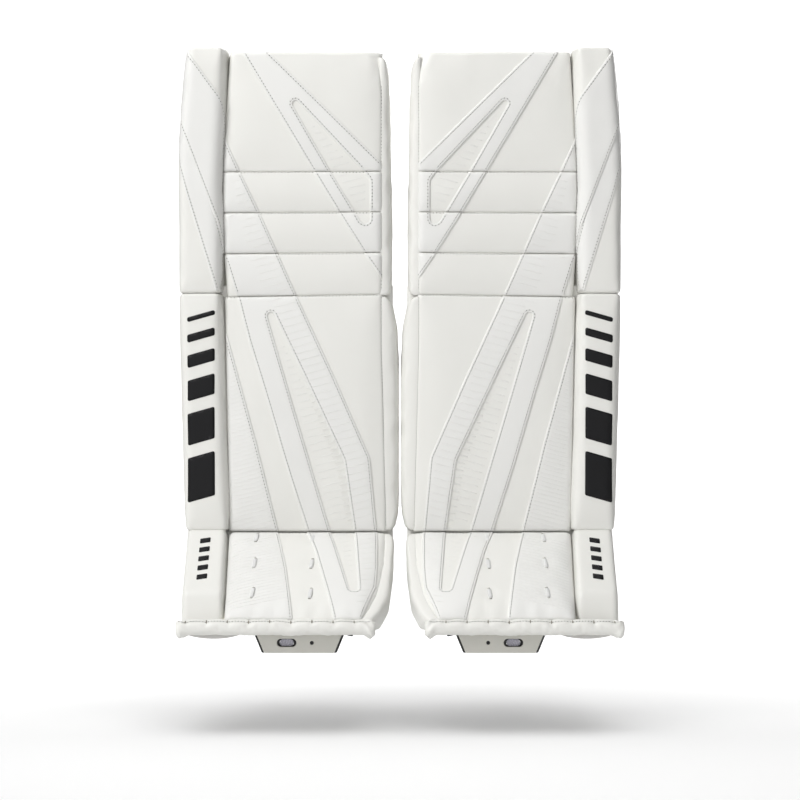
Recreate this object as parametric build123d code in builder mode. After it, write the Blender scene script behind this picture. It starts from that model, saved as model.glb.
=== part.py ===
"""A pair of ice hockey goalie leg pads, standing upright side by side as they are worn.

The front of the pads faces -Y, +X is the viewer's right and +Z is up. Sides are the wearer's, so the
left pad stands at +X. Every sub-part is drawn once for the left pad and mirrored for the right one.

The drawing's datum is the front of the shin panel (y = 0) and the foot of the toe tab (z = 0).
write_piece() slides each piece by DEPTH_MIDDLE, which puts the origin at the bottom centre of the
pair.
"""

import math
import os

from build123d import *

# ---- driving dimensions, millimetres ----
# Across one pad, from the plane between the two pads.
PAD_INNER = 2.0  # the inner edge at its fullest
PAD_OUTER = 281.0  # 279 mm from PAD_INNER, the widest that the rules allow
FACE_INNER = 22.0  # the front panels lie between the inner edge and the outer roll
FACE_OUTER = 221.0
ROLL_INNER = 229.0

# Heights.
TOP = 752.0
FACE_TOP = 748.0
KNEE_ROLLS_TOP = 600.0
KNEE_ROLL_COUNT = 3
KNEE_BREAK = 441.0  # where the pad flexes under the knee
BOOT_BREAK = 143.0  # where it flexes over the instep
BOOT_FOOT = 28.0  # the flat lower rim of the boot section

# Depths behind the front of the shin panel.
PANEL_DEPTH = 18.0
CORE_BACK = 58.0
LINING_BACK = 62.0
ROLL_FRONT = -10.0
SEAM_GAP = 0.6
FLEX_GAP = 4.0
SEWN_GAP = 0.3  # between layers that are sewn together
ROLL_RISE = 6.0  # from the knee break to the foot of the upper roll
FLEX_RISE = 13.0  # how high the wedge cut behind a break is at its back

# Rounded edges.
PANEL_ROUND = 7.0
KNEE_ROLL_ROUND = 9.0
ROLL_ROUND = 11.0
EDGE_ROUND = 8.0
SHIN_EDGE_ROUND = 12.0
BACK_ROUND = 12.0
WING_ROUND = 40.0

# The boot section leans forward from the boot break.
BOOT_LEAN = math.radians(52)
BOOT_TOP = BOOT_BREAK - 3
BOOT_LENGTH = 160.0  # down the slope, to the toe seam
BOOT_DEPTH = 36.0
TOE_ROLL_RADIUS = 9.5
TOE_ROLL_Y = -127.0
TOE_ROLL_Z = 36.0
LACE_COLUMNS = (110.0, 181.0)
LACE_ROWS = (15.0, 65.0, 119.0)
LACE_LENGTH = 20.0
LACE_WIDTH = 5.5
LACE_DEPTH = 3.0
LACE_ANGLE = 84.0

# Toe tab.
TAB_Y = -98.0
TAB_CENTRE = 123.5
TAB_TOP_WIDTH = 107.0
TAB_FOOT_WIDTH = 86.0
TAB_TOP = 25.5
TAB_DEPTH = 3.0
BACKING_DEPTH = 2.0
BACKING_RIM = 2.2
TAB_HOLES_Z = 12.5
STUD_X = TAB_CENTRE - 15.5
STUD_RADIUS = 2.4
SLOT_X = TAB_CENTRE + 15.5
SLOT_LENGTH = 24.0
SLOT_WIDTH = 10.0
ELASTIC_LENGTH = 29.0
ELASTIC_WIDTH = 14.0
ELASTIC_ANGLE = 22.0

# Knee block, wings and straps.
BLOCK_INNER = 14.0
BLOCK_OUTER = 72.0
BLOCK_FOOT = 466.0
BLOCK_TOP = 618.0
KNEE_WING_X = 254.0
KNEE_WING_FOOT = 478.0
KNEE_WING_TOP = 606.0
KNEE_WING_BACK = 190.0
KNEE_STRAP_WIDTH = 50.0
CALF_WING_X = 258.0
CALF_WING_FOOT = 165.0
CALF_WING_TOP = 415.0
CALF_WING_BACK = 203.0
CALF_STRAP_WIDTH = 38.0
CALF_STRAP_FEET = (212.0, 330.0)
CALF_STRAP_FRONT = 112.0
CALF_STRAP_TURN = (222.0, 176.0)  # it leaves the wing's side at this depth and lies flat from this x
CALF_STRAP_END = 60.0
CALF_STRAP_ROUND = 20.0
LEG_CHANNEL_INNER = 58.0
LEG_CHANNEL_OUTER = 236.0
LEG_CHANNEL_BACK = 112.0
LEG_CHANNEL_SIDE = 22.0
LEG_CHANNEL_BASE = 14.0
WING_DEPTH = 18.0
STRAP_DEPTH = 3.0
STRAP_CLEARANCE = 0.5
BOOT_STRAP_WIDTH = 25.0
BOOT_STRAP_FOOT = 62.0
BOOT_STRAP_INNER = 37.0
BOOT_STRAP_OUTER = 215.0
BOOT_STRAP_BACK = 128.0
BOOT_STRAP_ROUND = 30.0
BOOT_WALL_INNER = 40.0
BOOT_WALL_OUTER = 212.0

DEPTH_MIDDLE = 36.0

BOOT_PLANE = Plane(
    origin=(0, 0, BOOT_TOP),
    x_dir=(1, 0, 0),
    z_dir=(0, -math.cos(BOOT_LEAN), math.sin(BOOT_LEAN)),
)


# ---- shared geometry ----
def boot_point(down, out):
    """The (y, z) of a point so far down the boot's slope and so far out of its front."""
    spot = BOOT_PLANE.from_local_coords((0, -down, out))
    return (spot.Y, spot.Z)


def boot_at_height(height, out):
    """The (y, z) where a sheet parallel to the boot's front comes down to a height."""
    start_y, start_z = boot_point(0, out)
    return (start_y - (start_z - height) * math.tan(BOOT_LEAN), height)


def outline_on(plane, points):
    """A flat shape with straight sides."""
    with BuildSketch(plane) as shape:
        with BuildLine():
            Polyline(*points, close=True)
        make_face()
    return shape.sketch


def flex_wedge(level):
    """The wedge of space behind a break, which lets the section above it tip back."""
    back = CORE_BACK + 12
    return outline_on(Plane.YZ, [(PANEL_DEPTH, level), (back, level), (back, level + FLEX_RISE)])


def toe_groove():
    """The section of the space that the toe roll lies in."""
    with BuildSketch(Plane.YZ) as groove:
        with Locations((TOE_ROLL_Y, TOE_ROLL_Z)):
            Circle(TOE_ROLL_RADIUS + SEWN_GAP)
    return groove.sketch


def front_panel(outline, front, back, rounding):
    """A slab with an outline in x and z, rounded all round its front."""
    with BuildPart() as slab:
        extrude(outline_on(Plane.XZ.offset(-back), outline), amount=back - front)
        fillet(slab.faces().sort_by(Axis.Y)[0].edges(), rounding)
    return slab.part


def foam_core(width, foot, top):
    """Foam board between the front panels and the lining, its foot sloped for the flex."""
    front = PANEL_DEPTH + SEWN_GAP
    profile = [(front, foot), (CORE_BACK, foot + 10), (CORE_BACK, top), (front, top)]
    with BuildPart() as core:
        extrude(outline_on(Plane.YZ.offset(FACE_INNER + 6), profile), amount=width)
    return core.part


def curved_wall(path, depth, foot, height, radius):
    """An upright wall of constant depth that follows a path in x and y."""
    with BuildPart() as wall:
        with BuildSketch(Plane.XY.offset(foot)):
            with BuildLine():
                FilletPolyline(*path, radius=radius)
            trace(line_width=depth)
        extrude(amount=height)
    return wall.part


# ---- thigh section ----
def thigh_core():
    return foam_core(FACE_OUTER - FACE_INNER - 6, KNEE_BREAK + 3, FACE_TOP - 4)


def thigh_panel():
    foot = KNEE_ROLLS_TOP + SEAM_GAP
    outline = [
        (FACE_INNER, foot),
        (FACE_OUTER + 2, foot),
        (FACE_OUTER - 4, FACE_TOP),
        (FACE_INNER, FACE_TOP),
    ]
    return front_panel(outline, 0, PANEL_DEPTH, PANEL_ROUND)


def knee_roll(index):
    """One of the horizontal rolls across the knee, counted from the top."""
    pitch = (KNEE_ROLLS_TOP - KNEE_BREAK - 2) / KNEE_ROLL_COUNT
    top = KNEE_ROLLS_TOP - index * pitch - SEAM_GAP
    foot = top - pitch + 2 * SEAM_GAP
    outline = [(FACE_INNER, foot), (FACE_OUTER + 2, foot), (FACE_OUTER + 2, top), (FACE_INNER, top)]
    return front_panel(outline, -3, PANEL_DEPTH, KNEE_ROLL_ROUND)


def outer_roll_upper():
    """The stuffed roll down the outer edge, from the top to the knee break."""
    foot = KNEE_BREAK + ROLL_RISE
    outline = [
        (ROLL_INNER, foot),
        (PAD_OUTER - 1, foot),
        (PAD_OUTER, KNEE_ROLLS_TOP - 5),
        (PAD_OUTER - 4, KNEE_ROLLS_TOP + 72),
        (PAD_OUTER - 13, TOP),
        (ROLL_INNER - 5, TOP),
        (ROLL_INNER + 2, KNEE_ROLLS_TOP - 20),
    ]
    with BuildPart() as roll:
        extrude(outline_on(Plane.XZ.offset(-CORE_BACK), outline), amount=CORE_BACK - ROLL_FRONT)
        fillet(roll.faces().sort_by(Axis.Y)[0].edges(), ROLL_ROUND)
        extrude(flex_wedge(foot), amount=PAD_OUTER, mode=Mode.SUBTRACT)
    return roll.part


def inner_edge_upper():
    """The stuffed side wall along the inner edge, which the panels overlap from the front."""
    back_x = FACE_INNER + 6 - 2 * SEWN_GAP
    section = [
        (PAD_INNER + 8, 4),
        (FACE_INNER - SEWN_GAP, 4),
        (FACE_INNER - SEWN_GAP, PANEL_DEPTH + SEWN_GAP),
        (back_x, PANEL_DEPTH + SEWN_GAP),
        (back_x, CORE_BACK),
        (PAD_INNER + 8, CORE_BACK),
    ]
    foot = KNEE_BREAK + 4
    with BuildPart() as wall:
        extrude(outline_on(Plane.XY.offset(foot), section), amount=FACE_TOP - 6 - foot)
        fillet(wall.edges().filter_by(Axis.Z).group_by(Axis.X)[0], EDGE_ROUND)
        extrude(flex_wedge(foot), amount=PAD_OUTER, mode=Mode.SUBTRACT)
    return wall.part


def thigh_back():
    """The lined board at the back of the thigh section."""
    foot, top = KNEE_BREAK + 15, FACE_TOP - 4
    inner, outer = BLOCK_INNER, PAD_OUTER - 14
    with BuildPart() as board:
        with BuildSketch(Plane.XZ.offset(-LINING_BACK)):
            with Locations(((inner + outer) / 2, (foot + top) / 2)):
                RectangleRounded(outer - inner, top - foot, BACK_ROUND)
        extrude(amount=LINING_BACK - CORE_BACK - SEWN_GAP)
    return board.part


def knee_block():
    """The stack that the knee lands on. Its flat outer side takes the landing."""
    front, back = LINING_BACK + SEWN_GAP, KNEE_WING_BACK - STRAP_CLEARANCE
    with BuildPart() as block:
        with BuildSketch(Plane.XY.offset(BLOCK_FOOT)):
            with Locations(((BLOCK_INNER + BLOCK_OUTER) / 2, (front + back) / 2)):
                Rectangle(BLOCK_OUTER - BLOCK_INNER, back - front)
        extrude(amount=BLOCK_TOP - BLOCK_FOOT)
        fillet(block.faces().sort_by(Axis.X)[0].edges(), EDGE_ROUND)
    return block.part


# ---- knee wing ----
def knee_wing():
    """The outer wing beside the knee. It curls behind the knee at its back."""
    back = KNEE_WING_BACK - WING_DEPTH / 2
    path = [(KNEE_WING_X, LINING_BACK + 4), (KNEE_WING_X, back), (KNEE_WING_X - 54, back)]
    return curved_wall(path, WING_DEPTH, KNEE_WING_FOOT, KNEE_WING_TOP - KNEE_WING_FOOT, WING_ROUND)


def knee_strap():
    """An elastic strap, sewn to the back of the wing and lying on the back of the block."""
    foot = (KNEE_WING_FOOT + KNEE_WING_TOP - KNEE_STRAP_WIDTH) / 2
    start, end = KNEE_WING_X - 18, BLOCK_INNER + 6
    with BuildPart() as strap:
        with BuildSketch(Plane.XY.offset(foot)):
            with Locations(((start + end) / 2, KNEE_WING_BACK + STRAP_DEPTH / 2)):
                Rectangle(start - end, STRAP_DEPTH)
        extrude(amount=KNEE_STRAP_WIDTH)
    return strap.part


# ---- shin section ----
def shin_core():
    return foam_core(FACE_OUTER - FACE_INNER - 14, BOOT_BREAK + 4, KNEE_BREAK - 3)


def shin_panel():
    foot, top = BOOT_BREAK + 1, KNEE_BREAK - 1
    outline = [(FACE_INNER - 6, foot), (FACE_OUTER - 8, foot), (FACE_OUTER, top), (FACE_INNER, top)]
    return front_panel(outline, 0, PANEL_DEPTH, PANEL_ROUND)


def outer_roll_middle():
    """The length of the outer roll beside the shin."""
    foot, top = BOOT_BREAK + 2, KNEE_BREAK + ROLL_RISE - FLEX_GAP
    outline = [
        (ROLL_INNER - 5, foot),
        (PAD_OUTER - 9, foot),
        (PAD_OUTER - 1, top),
        (ROLL_INNER - 1, top),
    ]
    return front_panel(outline, ROLL_FRONT, CORE_BACK, ROLL_ROUND)


def inner_edge_lower():
    """The stuffed side wall along the inner edge of the shin, which seals against the ice."""
    front_x = FACE_INNER - 6 - 2 * SEWN_GAP
    back_x = FACE_INNER + 6 - 2 * SEWN_GAP
    section = [
        (PAD_INNER, 5),
        (front_x, 5),
        (front_x, PANEL_DEPTH + SEWN_GAP),
        (back_x, PANEL_DEPTH + SEWN_GAP),
        (back_x, CORE_BACK),
        (PAD_INNER, CORE_BACK),
    ]
    foot = BOOT_BREAK + 4
    with BuildPart() as wall:
        extrude(outline_on(Plane.XY.offset(foot), section), amount=KNEE_BREAK - 1 - foot)
        fillet(wall.edges().filter_by(Axis.Z).group_by(Axis.X)[0], SHIN_EDGE_ROUND)
        extrude(flex_wedge(foot), amount=PAD_OUTER, mode=Mode.SUBTRACT)
    return wall.part


def leg_channel():
    """The padded cradle for the shin: a back and two low sides."""
    front = CORE_BACK + SEWN_GAP
    base = front + LEG_CHANNEL_BASE
    inner_side = LEG_CHANNEL_INNER + LEG_CHANNEL_SIDE
    outer_side = LEG_CHANNEL_OUTER - LEG_CHANNEL_SIDE
    section = [
        (LEG_CHANNEL_INNER, front),
        (LEG_CHANNEL_OUTER, front),
        (LEG_CHANNEL_OUTER, LEG_CHANNEL_BACK),
        (outer_side, LEG_CHANNEL_BACK),
        (outer_side, base),
        (inner_side, base),
        (inner_side, LEG_CHANNEL_BACK),
        (LEG_CHANNEL_INNER, LEG_CHANNEL_BACK),
    ]
    foot = BOOT_BREAK + 17
    with BuildPart() as cradle:
        extrude(outline_on(Plane.XY.offset(foot), section), amount=CALF_WING_TOP + 12 - foot)
    return cradle.part


# ---- calf wings and their straps ----
def calf_wing_inner():
    """The inner calf wing, fixed to the shin section."""
    x, back = 36.0, CALF_WING_BACK - WING_DEPTH / 2
    path = [(x, CORE_BACK + 1), (x, back), (x + 86, back)]
    return curved_wall(path, WING_DEPTH, CALF_WING_FOOT, CALF_WING_TOP - CALF_WING_FOOT, WING_ROUND)


def calf_wing_outer():
    """The outer calf wing, which swings open to let the leg in."""
    back = CALF_WING_BACK - 12 - WING_DEPTH / 2
    path = [(CALF_WING_X, CORE_BACK + 12), (CALF_WING_X, back), (CALF_WING_X - 100, back)]
    return curved_wall(path, WING_DEPTH, CALF_WING_FOOT, CALF_WING_TOP - CALF_WING_FOOT, WING_ROUND)


def calf_straps():
    """Two webbing straps, sewn to the outer wing and lying on the back of the inner one."""
    outside = CALF_WING_X + (WING_DEPTH + STRAP_DEPTH) / 2 + SEWN_GAP
    lying = CALF_WING_BACK + STRAP_CLEARANCE + STRAP_DEPTH / 2
    flat_from, turn = CALF_STRAP_TURN
    path = [(outside, CALF_STRAP_FRONT), (outside, turn), (flat_from, lying), (CALF_STRAP_END, lying)]
    with BuildPart() as straps:
        for foot in CALF_STRAP_FEET:
            with BuildSketch(Plane.XY.offset(foot)):
                with BuildLine():
                    FilletPolyline(*path, radius=CALF_STRAP_ROUND)
                trace(line_width=STRAP_DEPTH)
            extrude(amount=CALF_STRAP_WIDTH)
    return straps.part


def calf_buckles():
    """A loop round each calf strap, in the space between the two wings."""
    length, wall, slack = 14.0, 2.2, 0.8
    lying = CALF_WING_BACK + STRAP_CLEARANCE + STRAP_DEPTH / 2
    opening = (STRAP_DEPTH + slack, CALF_STRAP_WIDTH + slack)
    with BuildPart() as buckles:
        with BuildSketch(Plane.YZ.offset(140 - length / 2)):
            for foot in CALF_STRAP_FEET:
                with Locations((lying, foot + CALF_STRAP_WIDTH / 2)):
                    RectangleRounded(opening[0] + 2 * wall, opening[1] + 2 * wall, 2)
                    Rectangle(*opening, mode=Mode.SUBTRACT)
        extrude(amount=length)
    return buckles.part


# ---- boot section ----
def boot_panel():
    """The foam slab over the instep and the toes, trimmed flat along its lower rim."""
    front_foot = boot_point(BOOT_LENGTH, 0)
    profile = [
        boot_point(0, 0),
        front_foot,
        (front_foot[0] + 16, BOOT_FOOT),
        boot_at_height(BOOT_FOOT, -BOOT_DEPTH),
        boot_point(0, -BOOT_DEPTH),
        (BOOT_DEPTH - 8, BOOT_BREAK - 12),
        (12, BOOT_TOP),
    ]
    below = -BOOT_LENGTH - 40
    plan = [
        (FACE_INNER - 5, 40),
        (FACE_OUTER - 4, 40),
        (FACE_OUTER - 6, below),
        (FACE_INNER + 20, below),
        (FACE_INNER + 20, 4 - BOOT_LENGTH),
        (FACE_INNER + 5, 44 - BOOT_LENGTH),
        (FACE_INNER - 5, -60),
    ]
    with BuildPart() as slab:
        extrude(outline_on(Plane.YZ, profile), amount=PAD_OUTER)
        extrude(outline_on(BOOT_PLANE.offset(-200), plan), amount=400, mode=Mode.INTERSECT)
        extrude(toe_groove(), amount=PAD_OUTER, mode=Mode.SUBTRACT)
    return slab.part


def outer_roll_lower():
    """The last length of the outer roll, which leans forward with the boot."""
    toe = boot_point(BOOT_LENGTH, -ROLL_FRONT)
    profile = [
        (ROLL_FRONT + 1, BOOT_BREAK - 2),
        toe,
        (TOE_ROLL_Y, BOOT_FOOT + 4),
        (TOE_ROLL_Y + 26, BOOT_FOOT + 2),
        (-28, BOOT_FOOT + 12),
        (38, BOOT_FOOT + 52),
        (CORE_BACK - 8, BOOT_BREAK - 14),
        (14, BOOT_TOP),
    ]
    inner, outer = ROLL_INNER - 7, PAD_OUTER - 12
    with BuildPart() as roll:
        extrude(outline_on(Plane.YZ.offset(inner), profile), amount=outer - inner)
        fillet(roll.edges().filter_by(lambda edge: edge.length > 0.9 * BOOT_LENGTH), 9)
        extrude(toe_groove(), amount=PAD_OUTER, mode=Mode.SUBTRACT)
    return roll.part


def inner_edge_boot():
    """The stuffed side wall down the inner edge of the boot."""
    plan = [
        (PAD_INNER + 7, -8),
        (PAD_INNER + 8, -70),
        (PAD_INNER + 15, 44 - BOOT_LENGTH),
        (PAD_INNER + 32, 3 - BOOT_LENGTH),
        (FACE_INNER + 19.5, 3 - BOOT_LENGTH),
        (FACE_INNER + 4.5, 44 - BOOT_LENGTH),
        (FACE_INNER - 5.5, -60),
        (FACE_INNER - 5.5, -8),
    ]
    with BuildPart() as wall:
        extrude(outline_on(BOOT_PLANE.offset(-BOOT_DEPTH), plan), amount=BOOT_DEPTH - 4)
        with BuildSketch(Plane.XY):
            Rectangle(4 * PAD_OUTER, 4 * PAD_OUTER)
        extrude(amount=BOOT_FOOT, mode=Mode.SUBTRACT)
        extrude(toe_groove(), amount=PAD_OUTER, mode=Mode.SUBTRACT)
    return wall.part


def toe_roll():
    """The bead along the toe seam."""
    inner, outer = FACE_INNER + 8, PAD_OUTER - 9
    with BuildPart() as bead:
        with BuildSketch(Plane.YZ.offset(inner)):
            with Locations((TOE_ROLL_Y, TOE_ROLL_Z)):
                Circle(TOE_ROLL_RADIUS)
        extrude(amount=outer - inner)
        fillet(bead.edges().filter_by(GeomType.CIRCLE), 5)
    return bead.part


def boot_laces():
    """Six short loops of lace that come through the boot panel."""
    with BuildPart() as laces:
        with BuildSketch(BOOT_PLANE.offset(0.1)):
            with Locations(*[(x, -down) for x in LACE_COLUMNS for down in LACE_ROWS]):
                SlotOverall(LACE_LENGTH, LACE_WIDTH, rotation=LACE_ANGLE)
        extrude(amount=LACE_DEPTH)
    return laces.part


def boot_channel():
    """The cradle behind the boot panel: a lining and two side walls that stand beside the skate."""
    lining, wall = 10.0, 13.0
    inner, outer = BOOT_WALL_INNER, BOOT_WALL_OUTER
    front = -BOOT_DEPTH - SEWN_GAP
    side = [
        boot_at_height(BOOT_FOOT, front),
        (62, BOOT_FOOT),
        (84, BOOT_FOOT + 30),
        (70, BOOT_BREAK - 18),
        boot_point(14, front),
    ]
    hollow = [
        boot_at_height(0, front - lining),
        (120, 0),
        (120, BOOT_BREAK),
        (boot_point(-20, front - lining)[0], BOOT_BREAK),
        boot_point(-20, front - lining),
    ]
    with BuildPart() as cradle:
        extrude(outline_on(Plane.YZ.offset(inner), side), amount=outer - inner)
        width = outer - inner - 2 * wall
        extrude(outline_on(Plane.YZ.offset(inner + wall), hollow), amount=width, mode=Mode.SUBTRACT)
    return cradle.part


def boot_strap():
    """The strap round the heel, hinged beside the outer wall of the boot cradle."""
    path = [
        (BOOT_STRAP_OUTER, 54),
        (BOOT_STRAP_OUTER, BOOT_STRAP_BACK),
        (BOOT_STRAP_INNER, BOOT_STRAP_BACK),
        (BOOT_STRAP_INNER, 66),
    ]
    return curved_wall(path, STRAP_DEPTH, BOOT_STRAP_FOOT, BOOT_STRAP_WIDTH, BOOT_STRAP_ROUND)


# ---- toe tab ----
def tab_outline(rim):
    """The trapezium of the tab, in x and z, grown at its slanted sides."""
    half_top, half_foot = TAB_TOP_WIDTH / 2 + rim, TAB_FOOT_WIDTH / 2 + rim
    return [
        (TAB_CENTRE - half_top, TAB_TOP),
        (TAB_CENTRE - half_foot, 0),
        (TAB_CENTRE + half_foot, 0),
        (TAB_CENTRE + half_top, TAB_TOP),
    ]


def toe_tab():
    """Stiff tab with a slot for the toe cord and a hole for the backing's stud."""
    with BuildPart() as tab:
        extrude(outline_on(Plane.XZ.offset(-TAB_Y), tab_outline(0)), amount=TAB_DEPTH)
        with BuildSketch(Plane.XZ.offset(-TAB_Y)):
            with Locations((SLOT_X, TAB_HOLES_Z)):
                SlotOverall(SLOT_LENGTH, SLOT_WIDTH)
            with Locations((STUD_X, TAB_HOLES_Z)):
                Circle(STUD_RADIUS + 0.1)
        extrude(amount=TAB_DEPTH, mode=Mode.SUBTRACT)
    return tab.part


def toe_tab_backing():
    """Rubber sheet behind the tab, with a moulded stud that locks into the tab's hole."""
    plane = Plane.XZ.offset(-TAB_Y - BACKING_DEPTH)
    with BuildPart() as backing:
        extrude(outline_on(plane, tab_outline(BACKING_RIM)), amount=BACKING_DEPTH - 0.02)
        with BuildSketch(plane):
            with Locations((SLOT_X, TAB_HOLES_Z)):
                SlotOverall(SLOT_LENGTH - 1.5, SLOT_WIDTH - 1)
        extrude(amount=BACKING_DEPTH, mode=Mode.SUBTRACT)
        with BuildSketch(plane):
            with Locations((STUD_X, TAB_HOLES_Z)):
                Circle(STUD_RADIUS)
        extrude(amount=BACKING_DEPTH + TAB_DEPTH - 0.4)
    return backing.part


def toe_elastic():
    """The sewn end of the toe elastic, which crosses behind the slot."""
    with BuildPart() as elastic:
        with BuildSketch(Plane.XZ.offset(-TAB_Y - BACKING_DEPTH - 2.1)):
            with Locations((SLOT_X, TAB_HOLES_Z)):
                Rectangle(ELASTIC_LENGTH, ELASTIC_WIDTH, rotation=ELASTIC_ANGLE)
        extrude(amount=2)
    return elastic.part


def write_piece(drawn, side, name):
    """Exports one piece of one pad. The right pad's pieces are mirrored."""
    with BuildPart() as piece:
        add(drawn.moved(Location((0, -DEPTH_MIDDLE, 0))))
        if side == "right":
            mirror(about=Plane.YZ, mode=Mode.REPLACE)
    piece.part.label = f"{side}_{name}"
    export_step(piece.part, f"parts/{side}_{name}.step")


SUB_PARTS = {
    "thigh_core": thigh_core(),
    "thigh_panel": thigh_panel(),
    "knee_roll_top": knee_roll(0),
    "knee_roll_middle": knee_roll(1),
    "knee_roll_bottom": knee_roll(2),
    "outer_roll_upper": outer_roll_upper(),
    "inner_edge_upper": inner_edge_upper(),
    "thigh_back": thigh_back(),
    "knee_block": knee_block(),
    "knee_wing": knee_wing(),
    "knee_strap": knee_strap(),
    "shin_core": shin_core(),
    "shin_panel": shin_panel(),
    "outer_roll_middle": outer_roll_middle(),
    "inner_edge_lower": inner_edge_lower(),
    "leg_channel": leg_channel(),
    "calf_wing_inner": calf_wing_inner(),
    "calf_wing_outer": calf_wing_outer(),
    "calf_straps": calf_straps(),
    "calf_buckles": calf_buckles(),
    "boot_panel": boot_panel(),
    "outer_roll_lower": outer_roll_lower(),
    "inner_edge_boot": inner_edge_boot(),
    "toe_roll": toe_roll(),
    "boot_laces": boot_laces(),
    "boot_channel": boot_channel(),
    "boot_strap": boot_strap(),
    "toe_tab": toe_tab(),
    "toe_tab_backing": toe_tab_backing(),
    "toe_elastic": toe_elastic(),
}

os.makedirs("parts", exist_ok=True)
for name, drawn in SUB_PARTS.items():
    for side in ("left", "right"):
        write_piece(drawn, side, name)
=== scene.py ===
import itertools
import math

import bpy
import numpy as np
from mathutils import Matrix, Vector, noise
from mathutils.bvhtree import BVHTree
from mathutils.geometry import delaunay_2d_cdt


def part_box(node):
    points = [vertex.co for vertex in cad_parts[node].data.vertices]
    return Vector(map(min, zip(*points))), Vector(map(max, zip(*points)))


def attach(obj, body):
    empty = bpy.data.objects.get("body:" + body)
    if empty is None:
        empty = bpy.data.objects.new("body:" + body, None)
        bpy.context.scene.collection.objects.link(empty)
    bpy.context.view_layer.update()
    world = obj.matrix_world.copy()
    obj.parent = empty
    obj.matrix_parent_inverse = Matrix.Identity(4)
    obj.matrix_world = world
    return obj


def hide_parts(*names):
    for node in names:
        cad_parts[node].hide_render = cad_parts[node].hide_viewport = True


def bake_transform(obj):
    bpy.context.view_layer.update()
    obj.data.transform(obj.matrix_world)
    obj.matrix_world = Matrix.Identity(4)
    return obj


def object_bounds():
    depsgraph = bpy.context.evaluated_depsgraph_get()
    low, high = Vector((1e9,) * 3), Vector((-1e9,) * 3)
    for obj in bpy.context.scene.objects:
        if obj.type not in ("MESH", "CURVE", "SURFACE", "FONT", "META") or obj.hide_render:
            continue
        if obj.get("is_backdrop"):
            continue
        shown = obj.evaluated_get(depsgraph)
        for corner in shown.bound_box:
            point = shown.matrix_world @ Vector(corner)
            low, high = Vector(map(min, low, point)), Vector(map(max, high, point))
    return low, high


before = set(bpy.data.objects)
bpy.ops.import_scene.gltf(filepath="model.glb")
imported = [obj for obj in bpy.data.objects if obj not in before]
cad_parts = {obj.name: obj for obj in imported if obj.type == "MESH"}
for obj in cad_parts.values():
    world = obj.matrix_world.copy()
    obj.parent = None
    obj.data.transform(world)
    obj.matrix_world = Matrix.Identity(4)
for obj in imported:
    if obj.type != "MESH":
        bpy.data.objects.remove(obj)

# Everything is drawn for the left pad in millimetres, from a datum on the front of the shin panel and
# the frame's floor, and add_pair() writes it in metres for the left pad and mirrored for the right one.
MM = 0.001
DATUM_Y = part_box("left_shin_panel")[0].y / MM
cad_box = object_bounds()


def span(node):
    """Lowest and highest corner of a left CAD node, in the drawing's millimetres."""
    low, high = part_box("left_" + node)
    datum = Vector((0, DATUM_Y, 0))
    return low / MM - datum, high / MM - datum


FACE_TOP = span("thigh_panel")[1].z
ROLL_TOP = span("outer_roll_upper")[1].z
SEAM_NODES = ("knee_roll_top", "knee_roll_middle", "knee_roll_bottom", "shin_panel")
SEAM_RISES = ((0.6, -0.2), (1.4, 0.0), (2.2, 0.4), (4.0, 0.8))
KNEE_SEAMS = [
    tuple(span(node)[1].z + rise for rise in rises) for node, rises in zip(SEAM_NODES, SEAM_RISES)
]
KNEE_BREAK = span("shin_panel")[1].z + 1
BOOT_BREAK = span("shin_panel")[0].z - 1
ROLL_BREAK = (span("outer_roll_upper")[0].z + span("outer_roll_middle")[1].z) / 2
CORE_BACK = span("shin_core")[1].y
BOOT_FOOT = span("boot_panel")[0].z

# The boot leans forward from the boot break. Its chart runs across (x) and down its slope (s).
BOOT_LEAN = math.radians(52)
BOOT_LENGTH = 160.0
BOOT_TOP = np.array((0.0, 0.0, BOOT_BREAK - 0.2))
BOOT_DOWN = np.array((0.0, -math.sin(BOOT_LEAN), -math.cos(BOOT_LEAN)))
BOOT_OUT = np.array((0.0, -math.cos(BOOT_LEAN), math.sin(BOOT_LEAN)))
FRONT_OUT = np.array((0.0, -1.0, 0.0))

# The covers above the knee break and below the boot break, each with (the body beyond the break, where the
# bending starts, where it ends).
FLEXES = {
    "thigh": ("shin", (120, 12, KNEE_BREAK + 42), (120, 12, KNEE_BREAK + 1)),
    "boot": ("shin", BOOT_TOP + 36 * BOOT_DOWN, BOOT_TOP + BOOT_DOWN),
}


# ---------------------------------------------------------------- materials
def ramp(tree, value, *ends):
    """Runs a value from one range to another. ends are from low, from high, to low and to high."""
    made = tree.nodes.new("ShaderNodeMapRange")
    for socket, end in zip(("From Min", "From Max", "To Min", "To Max"), ends):
        made.inputs[socket].default_value = end
    tree.links.new(value, made.inputs["Value"])
    return made.outputs["Result"]


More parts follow.
